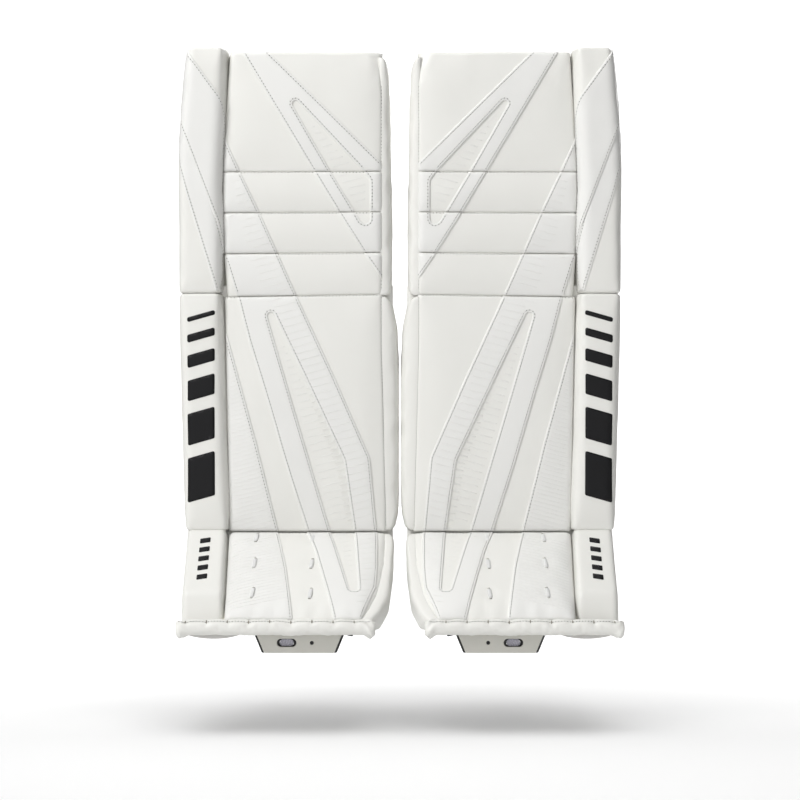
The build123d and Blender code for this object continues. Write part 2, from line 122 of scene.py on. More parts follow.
class Finish:
    """A node material under construction: helpers that add and join its nodes."""

    def __init__(self, name, colour, roughness, **sockets):
        self.material = bpy.data.materials.new(name)
        self.material.use_nodes = True
        self.nodes = self.material.node_tree.nodes
        self.links = self.material.node_tree.links
        self.shader = self.nodes["Principled BSDF"]
        self.shader.inputs["Base Color"].default_value = (*colour, 1)
        self.shader.inputs["Roughness"].default_value = roughness
        for socket, value in sockets.items():
            self.shader.inputs[socket.replace("_", " ")].default_value = value
        self.height = None

    def node(self, kind, **settings):
        made = self.nodes.new(kind)
        for key, value in settings.items():
            if key in made.inputs:
                made.inputs[key].default_value = value
            else:
                setattr(made, key, value)
        return made

    def place(self, scale=(1, 1, 1), source="Object"):
        """Texture coordinates: the object's own, in metres, or the cloth's, in metres along it."""
        if source == "Object":
            start = self.node("ShaderNodeTexCoord").outputs["Object"]
        else:
            start = self.node("ShaderNodeUVMap", uv_map="cloth").outputs["UV"]
        mapping = self.node("ShaderNodeMapping")
        mapping.inputs["Scale"].default_value = scale
        self.links.new(start, mapping.inputs["Vector"])
        return mapping.outputs["Vector"]

    def noise(self, scale, detail=2.0, where=None):
        made = self.node("ShaderNodeTexNoise", Scale=scale, Detail=detail)
        self.links.new(where or self.place(), made.inputs["Vector"])
        return made.outputs["Fac"]

    def cells(self, scale, where=None):
        made = self.node("ShaderNodeTexVoronoi", Scale=scale, feature="SMOOTH_F1")
        self.links.new(where or self.place(), made.inputs["Vector"])
        return made.outputs["Distance"]

    def waves(self, where, axis, scale):
        made = self.node("ShaderNodeTexWave", Scale=scale, bands_direction=axis, wave_profile="SIN")
        self.links.new(where, made.inputs["Vector"])
        return made.outputs["Fac"]

    def math(self, operation, first, second):
        made = self.node("ShaderNodeMath", operation=operation)
        for socket, value in zip(made.inputs, (first, second)):
            if isinstance(value, (int, float)):
                socket.default_value = value
            else:
                self.links.new(value, socket)
        return made.outputs["Value"]

    def bump(self, height, distance, strength=1.0):
        """Adds a layer of bump, in metres, over those made before."""
        made = self.node("ShaderNodeBump", Strength=strength, Distance=distance)
        self.links.new(height, made.inputs["Height"])
        if self.height:
            self.links.new(self.height, made.inputs["Normal"])
        self.height = made.outputs["Normal"]
        self.links.new(self.height, self.shader.inputs["Normal"])

    def vary(self, factor, low, high, socket="Base Color"):
        """Runs a colour or a value between two ends by a factor from 0 to 1."""
        if socket == "Base Color":
            made = self.node("ShaderNodeMix", data_type="RGBA")
            made.inputs[6].default_value = (*low, 1)
            made.inputs[7].default_value = (*high, 1)
            self.links.new(factor, made.inputs[0])
            self.links.new(made.outputs[2], self.shader.inputs[socket])
        else:
            self.links.new(ramp(self, factor, 0, 1, low, high), self.shader.inputs[socket])


def leather(name, colour, roughness, grain=0.00012):
    """Synthetic leather: a fine pebble, soft unevenness and a slight wander in tone."""
    finish = Finish(name, colour, roughness)
    darker = [0.965 * channel for channel in colour]
    finish.vary(finish.noise(9.0, 3.0), darker, colour)
    finish.vary(finish.noise(120.0, 2.0), roughness - 0.05, roughness + 0.06, "Roughness")
    finish.bump(finish.noise(38.0, 2.0), 0.0009, 0.35)
    finish.bump(finish.cells(1150.0), grain, 0.55)
    return finish.material


def knit(name, colour, pitch=0.0016):
    """Knitted lining: rows of small loops, with a soft nap."""
    finish = Finish(name, colour, 0.9, Sheen_Weight=0.25)
    lighter = [min(1.0, 1.9 * channel + 0.01) for channel in colour]
    across = finish.waves(finish.place(), "X", 0.32 / pitch)
    up = finish.waves(finish.place(), "Z", 0.32 / pitch)
    loops = finish.math("MULTIPLY", across, up)
    finish.vary(loops, colour, lighter)
    finish.bump(finish.noise(60.0), 0.0012, 0.3)
    finish.bump(loops, 0.0003, 0.8)
    return finish.material


def webbing(name, colour, pitch=0.0022):
    """Woven tape: ribs across and twill lines along, from the tape's own coordinates."""
    finish = Finish(name, colour, 0.62, Sheen_Weight=0.15)
    lighter = [min(1.0, 1.5 * channel + 0.012) for channel in colour]
    along = finish.waves(finish.place(source="cloth"), "X", 0.32 / pitch)
    across = finish.waves(finish.place(source="cloth"), "Y", 0.5 / pitch)
    weave = finish.math("MULTIPLY", along, across)
    finish.vary(weave, colour, lighter)
    finish.bump(weave, 0.0004, 0.9)
    return finish.material


def moulded(name, colour, roughness, **sockets):
    """Moulded plastic or rubber with a fine spark texture."""
    finish = Finish(name, colour, roughness, **sockets)
    finish.vary(finish.noise(60.0, 4.0), [0.9 * channel for channel in colour], colour)
    finish.vary(finish.noise(300.0), roughness - 0.06, roughness + 0.08, "Roughness")
    finish.bump(finish.noise(2600.0, 3.0), 0.00006, 0.6)
    return finish.material


def twist(name, colour):
    """Twisted thread or braided lace."""
    finish = Finish(name, colour, 0.6, Sheen_Weight=0.2)
    finish.vary(finish.noise(700.0), [0.82 * channel for channel in colour], colour)
    finish.bump(finish.noise(2200.0), 0.0002, 0.8)
    return finish.material


WHITE = leather("white_leather", (0.80, 0.795, 0.758), 0.46)
BAND = leather("band_leather", (0.80, 0.797, 0.774), 0.42, grain=0.00009)
# Darker leather used as painted shade: the groove strips and the eyelets take it where white leather only
# lies in shade.
PAINTED_SHADE_LEATHER = leather("painted_shade_leather", (0.52, 0.51, 0.45), 0.6)
LINER_EDGE = leather("liner_edge_leather", (0.60, 0.59, 0.57), 0.6)
GREY_TAB = leather("tab_leather", (0.66, 0.65, 0.60), 0.6)
THREAD = twist("white_thread", (0.72, 0.72, 0.70))
LACE = twist("white_lace", (0.78, 0.78, 0.77))
# Grey-brown for the needle holes: painted shade inside them.
NEEDLE_HOLE_PAINTED_SHADE = moulded("needle_hole_painted_shade", (0.27, 0.265, 0.24), 0.8)
TACK_THREAD = twist("tack_thread", (0.30, 0.28, 0.23))
LINING = knit("charcoal_knit", (0.022, 0.023, 0.026))
TAPE = webbing("black_webbing", (0.014, 0.014, 0.016))
ELASTIC = webbing("grey_webbing", (0.46, 0.45, 0.52), pitch=0.003)
RUBBER = moulded("black_rubber", (0.012, 0.012, 0.013), 0.6)
NYLON = moulded("black_nylon", (0.016, 0.016, 0.017), 0.38)
PRINT = moulded("black_print", (0.009, 0.009, 0.010), 0.5, Specular_IOR_Level=0.2)


# ---------------------------------------------------------------- mesh builders
def add_pair(name, body, points, faces, finish, slot, cloth=None, crease=None, fill=None, stands_for=(),
             bend=None, flexes=False):
    """Adds a piece to both pads. points are in millimetres on the left pad; bend is (body, start, end)."""
    points = np.asarray(points, float)
    if flexes:
        bend = FLEXES.get(body)
    for side, sign in (("left", 1), ("right", -1)):
        mesh = bpy.data.meshes.new(f"{side}_{name}")
        placed = (points * (sign, 1, 1) + (0, DATUM_Y, 0)) * MM
        mesh.from_pydata(placed.tolist(), [], [list(f) if sign > 0 else list(f)[::-1] for f in faces])
        if cloth is not None:
            layer = mesh.uv_layers.new(name="cloth")
            corners = np.zeros(len(mesh.loops), int)
            mesh.loops.foreach_get("vertex_index", corners)
            layer.data.foreach_set("uv", (np.asarray(cloth)[corners] * MM).ravel())
        mesh.materials.append(finish)
        mesh.shade_smooth()
        if crease:
            mesh.set_sharp_from_angle(angle=math.radians(crease))
        piece = bpy.data.objects.new(f"{side}_{name}", mesh)
        bpy.context.scene.collection.objects.link(piece)
        if bend:
            other, start, end = bend
            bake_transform(piece)
        else:
            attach(piece, f"{side}_{body}")
        if stands_for:
            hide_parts(*[f"{side}_{node}" for node in stands_for])


def places(length, step, radius, near=5):
    """Distances along a side: close together over its rounded ends, even between them."""
    radius = min(radius, 0.45 * length)
    curve = radius * (1 - np.cos(np.linspace(0, math.pi / 2, near)))
    count = max(2, round((length - 2 * radius) / step))
    middle = np.linspace(radius, length - radius, count + 1)[1:-1]
    return np.concatenate([curve, middle, (length - curve)[::-1]])


def drop(distance, radius, depth=None):
    """How far a rounded edge falls away at a distance in from it, over its radius and to its depth."""
    inward = 1 - np.clip(distance / radius, 0, 1)
    return (depth or radius) * (1 - np.sqrt(1 - inward * inward))


def grid_faces(rows, columns, start=0):
    corners = [start + r * columns + c for r in range(rows - 1) for c in range(columns - 1)]
    return [(a, a + 1, a + columns + 1, a + columns) for a in corners]


def loft_faces(rings, count, start=0):
    """The walls between closed rings of count points each, one ring after another."""
    faces = []
    for ring in range(rings - 1):
        near, far = start + ring * count, start + (ring + 1) * count
        faces += [(near + k, near + (k + 1) % count, far + (k + 1) % count, far + k) for k in range(count)]
    return faces


def lofted(points, count):
    """A closed loft through rings of count points each, whose ends close in on their middles."""
    points = list(np.asarray(points, float))
    last = len(points) - count
    faces = loft_faces(len(points) // count, count)
    for start in (0, last):
        ring = list(range(start, start + count))
        middle = np.mean([points[i] for i in ring], axis=0)
        sides = [(k, (k + 1) % count) if start == 0 else ((k + 1) % count, k) for k in range(count)]
        for share in (0.8, 0.5, 0.2):
            fresh = list(range(len(points), len(points) + count))
            points += [middle + (points[start + k] - middle) * share for k in range(count)]
            faces += [(ring[a], ring[b], fresh[b], fresh[a]) for a, b in sides]
            ring = fresh
        points.append(middle)
        faces += [(ring[a], ring[b], len(points) - 1) for a, b in sides]
    return np.array(points), outward(points, faces)


def rim_of(rows, columns):
    """The indices round a grid's border, in order."""
    top = [(rows - 1) * columns + c for c in range(columns - 1, -1, -1)]
    left = [r * columns for r in range(rows - 2, 0, -1)]
    return list(range(columns)) + [r * columns + columns - 1 for r in range(1, rows - 1)] + top + left


def shell(front, back, walls=1):
    """Joins two grids of points, (rows, columns, 3), into a closed mesh with rings of wall between."""
    rows, columns = front.shape[:2]
    near, far = front.reshape(-1, 3), back.reshape(-1, 3)
    rim = rim_of(rows, columns)
    points, loops = [near, far], [rim]
    for k in range(1, walls):
        start = len(near) * 2 + len(rim) * (k - 1)
        loops.append(list(range(start, start + len(rim))))
        points.append(near[rim] + (far[rim] - near[rim]) * k / walls)
    loops.append([len(near) + i for i in rim])
    faces = grid_faces(rows, columns)
    faces += [f[::-1] for f in grid_faces(rows, columns, len(near))]
    for upper, lower in zip(loops, loops[1:]):
        ends = zip(upper, upper[1:] + upper[:1], lower, lower[1:] + lower[:1])
        faces += [(b, a, c, d) for a, b, c, d in ends]
    return np.concatenate(points), outward(np.concatenate(points), faces)


def outward(points, faces):
    """The same faces, turned so that the closed mesh's normals point out."""
    points = np.asarray(points, float)
    corners = points[np.array([(f[0], f[k], f[k + 1]) for f in faces for k in range(1, len(f) - 1)])]
    volume = np.einsum("ij,ij->", corners[:, 0], np.cross(corners[:, 1], corners[:, 2]))
    return faces if volume > 0 else [tuple(f)[::-1] for f in faces]


def thickened(layers, faces):
    """Closes layers of the same points, one behind another, into one mesh: (points, faces)."""
    count, last = len(layers[0]), (len(layers) - 1) * len(layers[0])
    edges = dict.fromkeys((a, b) for f in faces for a, b in zip(f, f[1:] + f[:1]))
    rim = [(a, b) for a, b in edges if (b, a) not in edges]
    whole = [*faces, *[tuple(i + last for i in f[::-1]) for f in faces]]
    for near in range(0, last, count):
        far = near + count
        whole += [(b + near, a + near, a + far, b + far) for a, b in rim]
    points = np.concatenate(layers)
    return points, outward(points, whole)


def between(table, level):
    """A value read from a short table of (level, value), straight between its rows."""
    levels, values = zip(*sorted(table))
    return np.interp(level, levels, values)


def soft_noise(points, size, depth, seed=0.0):
    """A gentle unevenness at each point, in millimetres."""
    return np.array([depth * noise.noise(Vector(p) / size + Vector((seed, seed, seed))) for p in points])


def stuffed(points, faces, fixed, pressure=4.0, spare=0.0, most=4.0, frames=14):
    """Lets a closed cover swell and pucker by cloth simulation, and returns its new points.

    fixed is a mask of the points sewn down, spare is the cover's extra cloth as a share of its
    length, and most caps how far a point moves, in millimetres.
    """
    points = np.asarray(points, float)
    mesh = bpy.data.meshes.new("trial")
    mesh.from_pydata((points * MM).tolist(), [], [list(f) for f in faces])
    trial = bpy.data.objects.new("trial", mesh)
    scene = bpy.context.scene
    scene.collection.objects.link(trial)
    group = trial.vertex_groups.new(name="sewn")
    group.add([int(i) for i in np.nonzero(fixed)[0]], 1.0, "REPLACE")
    cloth = trial.modifiers.new("cloth", "CLOTH")
    cloth.settings.quality = 6
    cloth.settings.mass = 0.25
    cloth.settings.tension_stiffness = 12
    cloth.settings.compression_stiffness = 12
    cloth.settings.shear_stiffness = 4
    cloth.settings.bending_stiffness = 1.5
    cloth.settings.vertex_group_mass = "sewn"
    cloth.settings.use_pressure = True
    cloth.settings.uniform_pressure_force = pressure
    cloth.settings.shrink_min = -spare
    cloth.settings.effector_weights.gravity = 0
    cloth.point_cache.frame_start = 1
    cloth.point_cache.frame_end = frames
    for moment in range(1, frames + 1):
        scene.frame_set(moment)
    settled = trial.evaluated_get(bpy.context.evaluated_depsgraph_get()).data
    moved = np.zeros(len(points) * 3)
    settled.vertices.foreach_get("co", moved)
    bpy.data.objects.remove(trial)
    bpy.data.meshes.remove(mesh)
    scene.frame_set(1)
    shift = moved.reshape(-1, 3) / MM - points
    length = np.linalg.norm(shift, axis=1, keepdims=True)
    return points + shift * (most * np.tanh(length / most) / np.maximum(length, 1e-6))


# ---------------------------------------------------------------- charts of the fronts
class Chart:
    """A front section as a flat chart in (a, b), cast onto the cover that was made for it.

    inner and outer are tables of (b, a) for its sides; low and high are its ends' levels at both sides.
    """

    def __init__(self, body, origin, across, up, out, inner, outer, low, high):
        self.body = body
        self.origin, self.across, self.up, self.out = (np.array(v, float) for v in (origin, across, up, out))
        self.inner, self.outer = inner, outer
        self.low, self.high = low, high
        self.tree = None

    def flat(self, a, b, out=0.0):
        return self.origin + self.across * a + self.up * b + self.out * out

    def wear(self, points, faces):
        self.tree = BVHTree.FromPolygons([tuple(p) for p in points], [tuple(f) for f in faces])

    def at(self, a, b):
        """The point of the cover in front of (a, b), and which way is off the cover there."""
        start = Vector(self.flat(a, b, 60.0))
        hit = self.tree.ray_cast(start, Vector(-self.out), 120.0)[0]
        return (self.flat(a, b) if hit is None else np.array(hit)), self.out

    def border(self, inset):
        """The section's outline in its chart, drawn in by an inset."""
        count = max(3, round((self.high[0] - self.low[0]) / 3))
        levels = [np.linspace(self.low[k] + inset, self.high[k] - inset, count) for k in (0, 1)]
        left = [(between(self.inner, b) + inset, b) for b in levels[0]]
        right = [(between(self.outer, b) - inset, b) for b in levels[1][::-1]]
        top = along([left[-1], right[0]], 3.0)[1:-1]
        foot = along([right[-1], left[0]], 3.0)[1:-1]
        return left + top + right + foot


class RollChart(Chart):
    """A roll's cover unwrapped: a runs round it, and equals x across its front; b runs along it."""

    def __init__(self, body, out, up, rings, levels, girths, sides, ridge, reach):
        inner = [(r[0], r[1] - reach[0]) for r in sides]
        outer = [(r[0], r[2] + reach[1]) for r in sides]
        ends = [(levels[0] + 2,) * 2, (levels[-1] - 2,) * 2]
        super().__init__(body, (0, 0, 0), (1, 0, 0), up, out, inner, outer, *ends)
        self.rings, self.levels, self.girths, self.sides, self.ridge = rings, levels, girths, sides, ridge

    def spot(self, a, b):
        count = self.rings.shape[1]
        row = float(np.interp(b, self.levels, range(len(self.levels))))
        row = min(max(row, 0), len(self.levels) - 1.001)
        low, share = int(row), row - int(row)
        found = []
        for k in (low, low + 1):
            inner = between([(r[0], r[1]) for r in self.sides], self.levels[k])
            column = (self.ridge + a - inner) / self.girths[k] * count
            first, part = int(column), column - int(column)
            ring = self.rings[k]
            found.append(ring[first % count] * (1 - part) + ring[(first + 1) % count] * part)
        return found[0] * (1 - share) + found[1] * share

    def at(self, a, b):
        spot = self.spot(a, b)
        lengthways = self.spot(a, b + 1) - self.spot(a, b - 1)
        normal = np.cross(lengthways, self.spot(a + 1.5, b) - self.spot(a - 1.5, b))
        normal /= max(np.linalg.norm(normal), 1e-6)
        middle = self.rings[int(np.argmin(np.abs(self.levels - b)))].mean(axis=0)
        return spot, normal if normal @ (spot - middle) > 0 else -normal


def along(path, step):
    """A path through the same corners with points about a step apart."""
    made = [tuple(path[0])]
    for start, end in zip(path, path[1:]):
        start, end = np.array(start, float), np.array(end, float)
        count = max(1, round(np.linalg.norm(end - start) / step))
        made += [tuple(start + (end - start) * k / count) for k in range(1, count + 1)]
    return made


def measured(path):
    """How far along a path each of its points is."""
    return np.concatenate([[0], np.cumsum(np.linalg.norm(np.diff(path, axis=0), axis=1))])


def spaced(path, travelled, wanted):
    """The points of a measured path at wanted distances along it."""
    return np.stack([np.interp(wanted, travelled, column) for column in np.transpose(path)], axis=1)


def rounded(corners, step=2.5):
    """A closed outline through corners (a, b, radius), each turned on an arc."""
    made = []
    count = len(corners)
    for k, (a, b, radius) in enumerate(corners):
        here = np.array((a, b), float)
        before = np.array(corners[k - 1][:2], float) - here
        after = np.array(corners[(k + 1) % count][:2], float) - here
        before /= np.linalg.norm(before)
        after /= np.linalg.norm(after)
        half = math.acos(max(-1.0, min(1.0, float(before @ after)))) / 2
        if radius <= 0:
            made.append(tuple(here))
            continue
        reach = radius / math.tan(half)
        middle = here + (before + after) / np.linalg.norm(before + after) * radius / math.sin(half)
        start, end = here + before * reach - middle, here + after * reach - middle
        turn = math.atan2(start[0] * end[1] - start[1] * end[0], start @ end)
        for t in np.linspace(0, 1, max(3, round(abs(turn) * radius / 1.2))):
            c, s = math.cos(turn * t), math.sin(turn * t)
            made.append(tuple(middle + (start[0] * c - start[1] * s, start[0] * s + start[1] * c)))
    return along(made + [made[0]], step)[:-1]


def inside(outline, points):
    """Which points lie inside a closed outline."""
    points = np.asarray(points, float).reshape(-1, 2)
    x, y = points[:, 0], points[:, 1]
    result = np.zeros(len(points), bool)
    ends = np.array(outline, float)
    for (x1, y1), (x2, y2) in zip(ends, np.roll(ends, -1, axis=0)):
        if y1 == y2:
            continue
        crosses = ((y1 > y) != (y2 > y)) & (x < (x2 - x1) * (y - y1) / (y2 - y1) + x1)
        result ^= crosses
    return result


def within(points, outlines, holes=()):
    """Which points lie inside every one of some outlines, and in none of the holes."""
    keep = np.ones(len(points), bool)
    for outline in outlines:
        keep &= inside(outline, points)
    for hole in holes:
        keep &= ~inside(hole, points)
    return keep


def distance(outlines, points):
    """How far each point is from the nearest of some closed outlines."""
    points = np.asarray(points, float).reshape(-1, 2)
    best = np.full(len(points), 1e9)
    for outline in outlines:
        ends = np.array(outline, float)
        for start, end in zip(ends, np.roll(ends, -1, axis=0)):
            run = end - start
            t = np.clip((points - start) @ run / max(run @ run, 1e-9), 0, 1)
            gap = points - start - t[:, None] * run
            best = np.minimum(best, np.einsum("ij,ij->i", gap, gap))
    return np.sqrt(best)


def triangulated(points, loops, outlines, holes=(), merge=1e-4):
    """Triangles inside some outlines and outside the holes: (their points, triangles).

    loops are the (first index, count) of the closed loops among the points that stay as edges.
    """
    pairs = [(first + k, first + (k + 1) % count) for first, count in loops for k in range(count)]
    found, _, triangles, *_ = delaunay_2d_cdt([Vector(p) for p in points], pairs, [], 0, merge)
    found = np.array([tuple(v) for v in found])
    middles = np.array([found[list(t)].mean(axis=0) for t in triangles])
    return found, [tuple(t) for t, keep in zip(triangles, within(middles, outlines, holes)) if keep]


def drawn_in(outline, inset, inward):
    """An outline moved in by an inset. inward is 1 if its inside is what the piece covers."""
    ends = np.array(outline, float)
    before, after = ends - np.roll(ends, 1, axis=0), np.roll(ends, -1, axis=0) - ends
    normals = []
    for run in (before, after):
        run = run / np.maximum(np.linalg.norm(run, axis=1, keepdims=True), 1e-9)
        normals.append(np.stack([-run[:, 1], run[:, 0]], axis=1))
    mean = normals[0] + normals[1]
    mean /= np.maximum(np.linalg.norm(mean, axis=1, keepdims=True), 1e-6)
    widen = 1 / np.maximum(np.einsum("ij,ij->i", mean, normals[0]), 0.5)
    x, y = ends[:, 0], ends[:, 1]
    area = np.sum(x * np.roll(y, -1) - np.roll(x, -1) * y)
    return ends + mean * (widen * inset * inward * math.copysign(1, area))[:, None]


# ---------------------------------------------------------------- raised bands, stitches and ribs
BAND_HEIGHT = 1.7
BAND_EDGE = 0.6
STITCH_INSET = 2.8
RINGS = (0.12, 0.3, BAND_EDGE, STITCH_INSET - 0.7, STITCH_INSET, STITCH_INSET + 0.7)
RIB_SLOPE = math.tan(math.radians(15))
RIB_CLEARANCE = 5.0
BAND_STEP = 4.5  # between a band's inner points
BAND_BURIED = 0.9  # how far a band's underside lies in its cover
BORDER_INSET = 0.8
gathered = {}


def gather(kind, body, points, faces):
    """Collects small parts of one kind on one body, to be added as a single piece."""
    store = gathered.setdefault((kind, body), ([], []))
    start = len(store[0])
    store[0].extend(points)
    store[1].extend([tuple(i + start for i in f) for f in faces])


def band_height(gap, rise):
    """The height of a raised band at a distance in from its edge: a round edge and a sewn groove."""
    edge = rise - drop(gap, BAND_EDGE, rise)
    groove = 0.12 * np.exp(-(((gap - STITCH_INSET) / 0.5) ** 2))
    return edge - groove - 0.4 * np.clip(1 - gap / 0.15, 0, 1)


def raised_band(name, chart, outline, windows=(), rise=BAND_HEIGHT):
    """A layer of leather sewn on one section, cut to an outline with windows, and its stitching."""
    border = chart.border(BORDER_INSET)
    edges = [outline, *windows]
    points, loops = list(border), [(0, len(border))]
    for edge in edges:
        loops.append((len(points), len(edge)))
        points += [tuple(p) for p in edge]
        for inset in RINGS:
            ring = drawn_in(edge, inset, 1 if edge is outline else -1)
            points += [tuple(p) for p in ring[distance(edges, ring) > 0.93 * inset]]
    across = [p[0] for p in border]
    rows = enumerate(np.arange(min(chart.low), max(chart.high), BAND_STEP * 0.87))
    grid = np.array([(a + (BAND_STEP / 2 if row % 2 else 0), b) for row, b in rows
                     for a in np.arange(min(across), max(across), BAND_STEP)])
    roomy = (distance(edges, grid) > RINGS[-1] + 1.5) & within(grid, [border, outline])
    points += [tuple(p) for p in grid[roomy]]
    flat, triangles = triangulated(points, loops, [outline, border], windows)
    if not triangles:
        return
    used = np.unique(triangles)
    number = {old: new for new, old in enumerate(used)}
    faces = [tuple(number[i] for i in t) for t in triangles]
    seats = [chart.at(*p) for p in flat[used]]
    heights = band_height(distance(edges, flat[used]), rise)
    top = np.array([spot + off * height for (spot, off), height in zip(seats, heights)])
    under = np.array([spot - off * BAND_BURIED for spot, off in seats])
    add_pair(name, chart.body, *thickened([top, under], faces), BAND, "leather", flexes=True)
    for edge in edges:
        sewn = drawn_in(edge, STITCH_INSET, 1 if edge is outline else -1)
        stitch_row(chart, [*sewn, sewn[0]], rise - 0.08, ([border, outline], windows))


def stitch_row(chart, path, height=0.0, region=((), ()), pitch=4.3, length=2.6, inset=1.6):
    """Thread that shows along a path in a chart: a short bar for each stitch, and its needle hole, darkened
    with painted shade.

    region is the outlines that the row keeps inside and the holes that it keeps out of.
    """
    travelled = measured(path)
    middles = np.arange(pitch / 2, travelled[-1], pitch)
    if not len(middles):
        return
    starts, ends, centres, gaps = (
        spaced(path, travelled, middles + shift) for shift in (-length / 2, length / 2, 0, pitch / 2)
    )
    outlines, holes = region
    keep = within(centres, [chart.border(inset), *outlines], holes)
    for start, end in zip(starts[keep], ends[keep]):
        head, off = chart.at(*start)
        tail = chart.at(*end)[0]
        thread_bar(chart.body, head + off * height, tail + off * height, off)
    for a, b in gaps[keep]:
        needle_hole(chart, a, b, height)


def needle_hole(chart, a, b, height, radius=0.76, kind="holes"):
    """A small hollow between two stitches, coloured dark as painted shade."""
    middle, off = chart.at(a, b)
    first = np.cross(off, (0.0, 0.3, 1.0))
    first /= np.linalg.norm(first)
    second = np.cross(off, first)
    ring = [middle + off * (height + 0.14) + (first * math.cos(t) + second * math.sin(t)) * radius
            for t in np.arange(6) * math.tau / 6]
    points = [*ring, middle + off * (height - 0.4)]
    gather(kind, chart.body, points, [tuple(range(6)), *[((k + 1) % 6, k, 6) for k in range(6)]])


def thread_bar(body, head, tail, out, thick=0.42, kind="stitches"):
    """One stitch: a short bar with pinched ends."""
    run = tail - head
    side = np.cross(run, out)
    side = side / max(np.linalg.norm(side), 1e-6)
    points, faces = [head - out * 0.2], []
    for t in (0.15, 0.85):
        for turn in range(5):
            angle = math.tau * turn / 5
            rise = out * (math.sin(angle) * 0.85 + 0.35) + side * math.cos(angle)
            points.append(head + run * t + rise * thick)
    points.append(tail - out * 0.2)
    for turn in range(5):
        after = (turn + 1) % 5
        faces.append((0, 1 + after, 1 + turn))
        faces.append((1 + turn, 1 + after, 6 + after, 6 + turn))
        faces.append((6 + turn, 6 + after, 11))
    gather(kind, body, points, faces)


def rib(chart, start, end, height=0.0, wide=0.5, rise=0.26):
    """A fine welded ridge across a section, between two points of its chart."""
    start, end = np.array(start, float), np.array(end, float)
    length = np.linalg.norm(end - start)
    if length < 3:
        return
    count = max(2, round(length / 2.5))
    run = (end - start) / length
    across = np.array((-run[1], run[0]))
    points = []
    for k in range(count + 1):
        middle = start + (end - start) * k / count
        taper = 0.15 if k in (0, count) else 1.0
        for offset, lift in ((-1, -0.25), (-0.45, 0.8), (0.45, 0.8), (1, -0.25)):
            a, b = middle + across * offset * wide * (0.4 + 0.6 * taper)
            spot, off = chart.at(a, b)
            points.append(spot + off * (height + lift * rise * taper))
    faces = [*loft_faces(count + 1, 4), (0, 3, 2, 1), tuple(4 * count + j for j in range(4))]
    gather("ribs", chart.body, points, outward(points, faces))


def rib_field(chart, outline, windows, low, high, spacing, height, reach=(0.0, 1.0)):
    """Ribs that rise towards the inner edge, clipped to a region of the chart.

    reach is the share of each rib that shows, from its inner end to its outer one.
    """
    for level in np.arange(low, high, spacing):
        a = np.arange(0, 240, 1.0)
        spots = np.stack([a, level - RIB_SLOPE * (a - 110)], axis=1)
        good = within(spots, [chart.border(3.0), outline], windows)
        good &= distance([outline, *windows], spots) > RIB_CLEARANCE
        if good.sum() < 6:
            continue
        first, last = np.nonzero(good)[0][[0, -1]]
        cut = (last - first) * np.array(reach) + first
        rib(chart, spots[int(cut[0])], spots[int(cut[1])], height)


# ---------------------------------------------------------------- fronts
charts = {}


def front_cover(name, body, inner, outer, low, high, top, foot, crown, seed, corner=None):
    """A stuffed front section: a panel or a knee roll, crowned, with rounded edges.

    inner and outer are tables of (z, x) for its sides. low and high are its ends' levels at both
    sides, and top and foot are the (reach, depth) of its rounding there.
    """
    node = name if "roll" in name else name + "_panel"
    round_side = (6.5, 7.0)
    back = span(node)[1].y
    tall = high[0] - low[0]
    shares = places(tall, 4.5, 7.0, 6) / tall
    width = between(outer, low[1]) - between(inner, low[0])
    columns = places(width, 4.5, round_side[0], 6) / width
    across, share = np.meshgrid(columns, shares)
    lows, highs = (ends[0] + (ends[1] - ends[0]) * across for ends in (low, high))
    up = lows + (highs - lows) * share
    left, right = between(inner, up), between(outer, up)
    x = left + (right - left) * across
    side = np.minimum(x - left, right - x)
    fall = drop(side, *round_side) + drop(highs - up, *top) + drop(up - lows, *foot)
    dome = (1 - (2 * across - 1) ** 4) * np.sin(math.pi * share ** 1.15)
    y = np.minimum(fall, back - 3) - crown * dome
    if corner:
        y = y + corner(x, up)
    grid = np.stack([x, y, up], axis=2)
    far = np.stack([x, np.full_like(x, back), up], axis=2)
    points, faces = shell(grid, far, walls=3)
    size = grid.shape[0] * grid.shape[1]
    end = np.minimum(up - lows, highs - up)
    fixed = np.ones(len(points), bool)
    fixed[:size] = (np.minimum(side, end) < 3).ravel()
    points = stuffed(points, faces, fixed, most=2.0)
    points[:size, 1] += soft_noise(points[:size], 45.0, 0.5, seed) * np.minimum(1, end.ravel() / 8)
    add_pair(name + "_cover", body, points, faces, WHITE, "leather", fill=0.7, stands_for=[node], flexes=True)
    chart = Chart(body, (0, 0, 0), (1, 0, 0), (0, 0, 1), FRONT_OUT, inner, outer, low, high)
    chart.wear(points, faces)
    charts[name] = chart


def top_corner(x, z):
    """The facets pressed into the inner top corner of the thigh panel."""
    beyond_side = ((z - 703) * 12 - (x - 24) * 35) / 37
    beyond_top = ((z - 738) * 54 - (x - 36) * 10) / 55
    return 0.42 * np.maximum(beyond_side, 0) + 0.2 * np.maximum(beyond_top, 0)


THIGH_INNER = [(KNEE_BREAK, 22), (FACE_TOP, 22)]
THIGH_OUTER = [(437, 219), (490, 223), (545, 225), (598, 225), (643, 223), (700, 219), (FACE_TOP, 216)]
SHIN_INNER = [(BOOT_BREAK, 16), (380, 22), (KNEE_BREAK, 22)]
SHIN_OUTER = [(BOOT_BREAK, 217), (KNEE_BREAK, 222.5)]
SEWN = 0.05


def moved(ends, shift):
    return tuple(end + shift for end in ends)


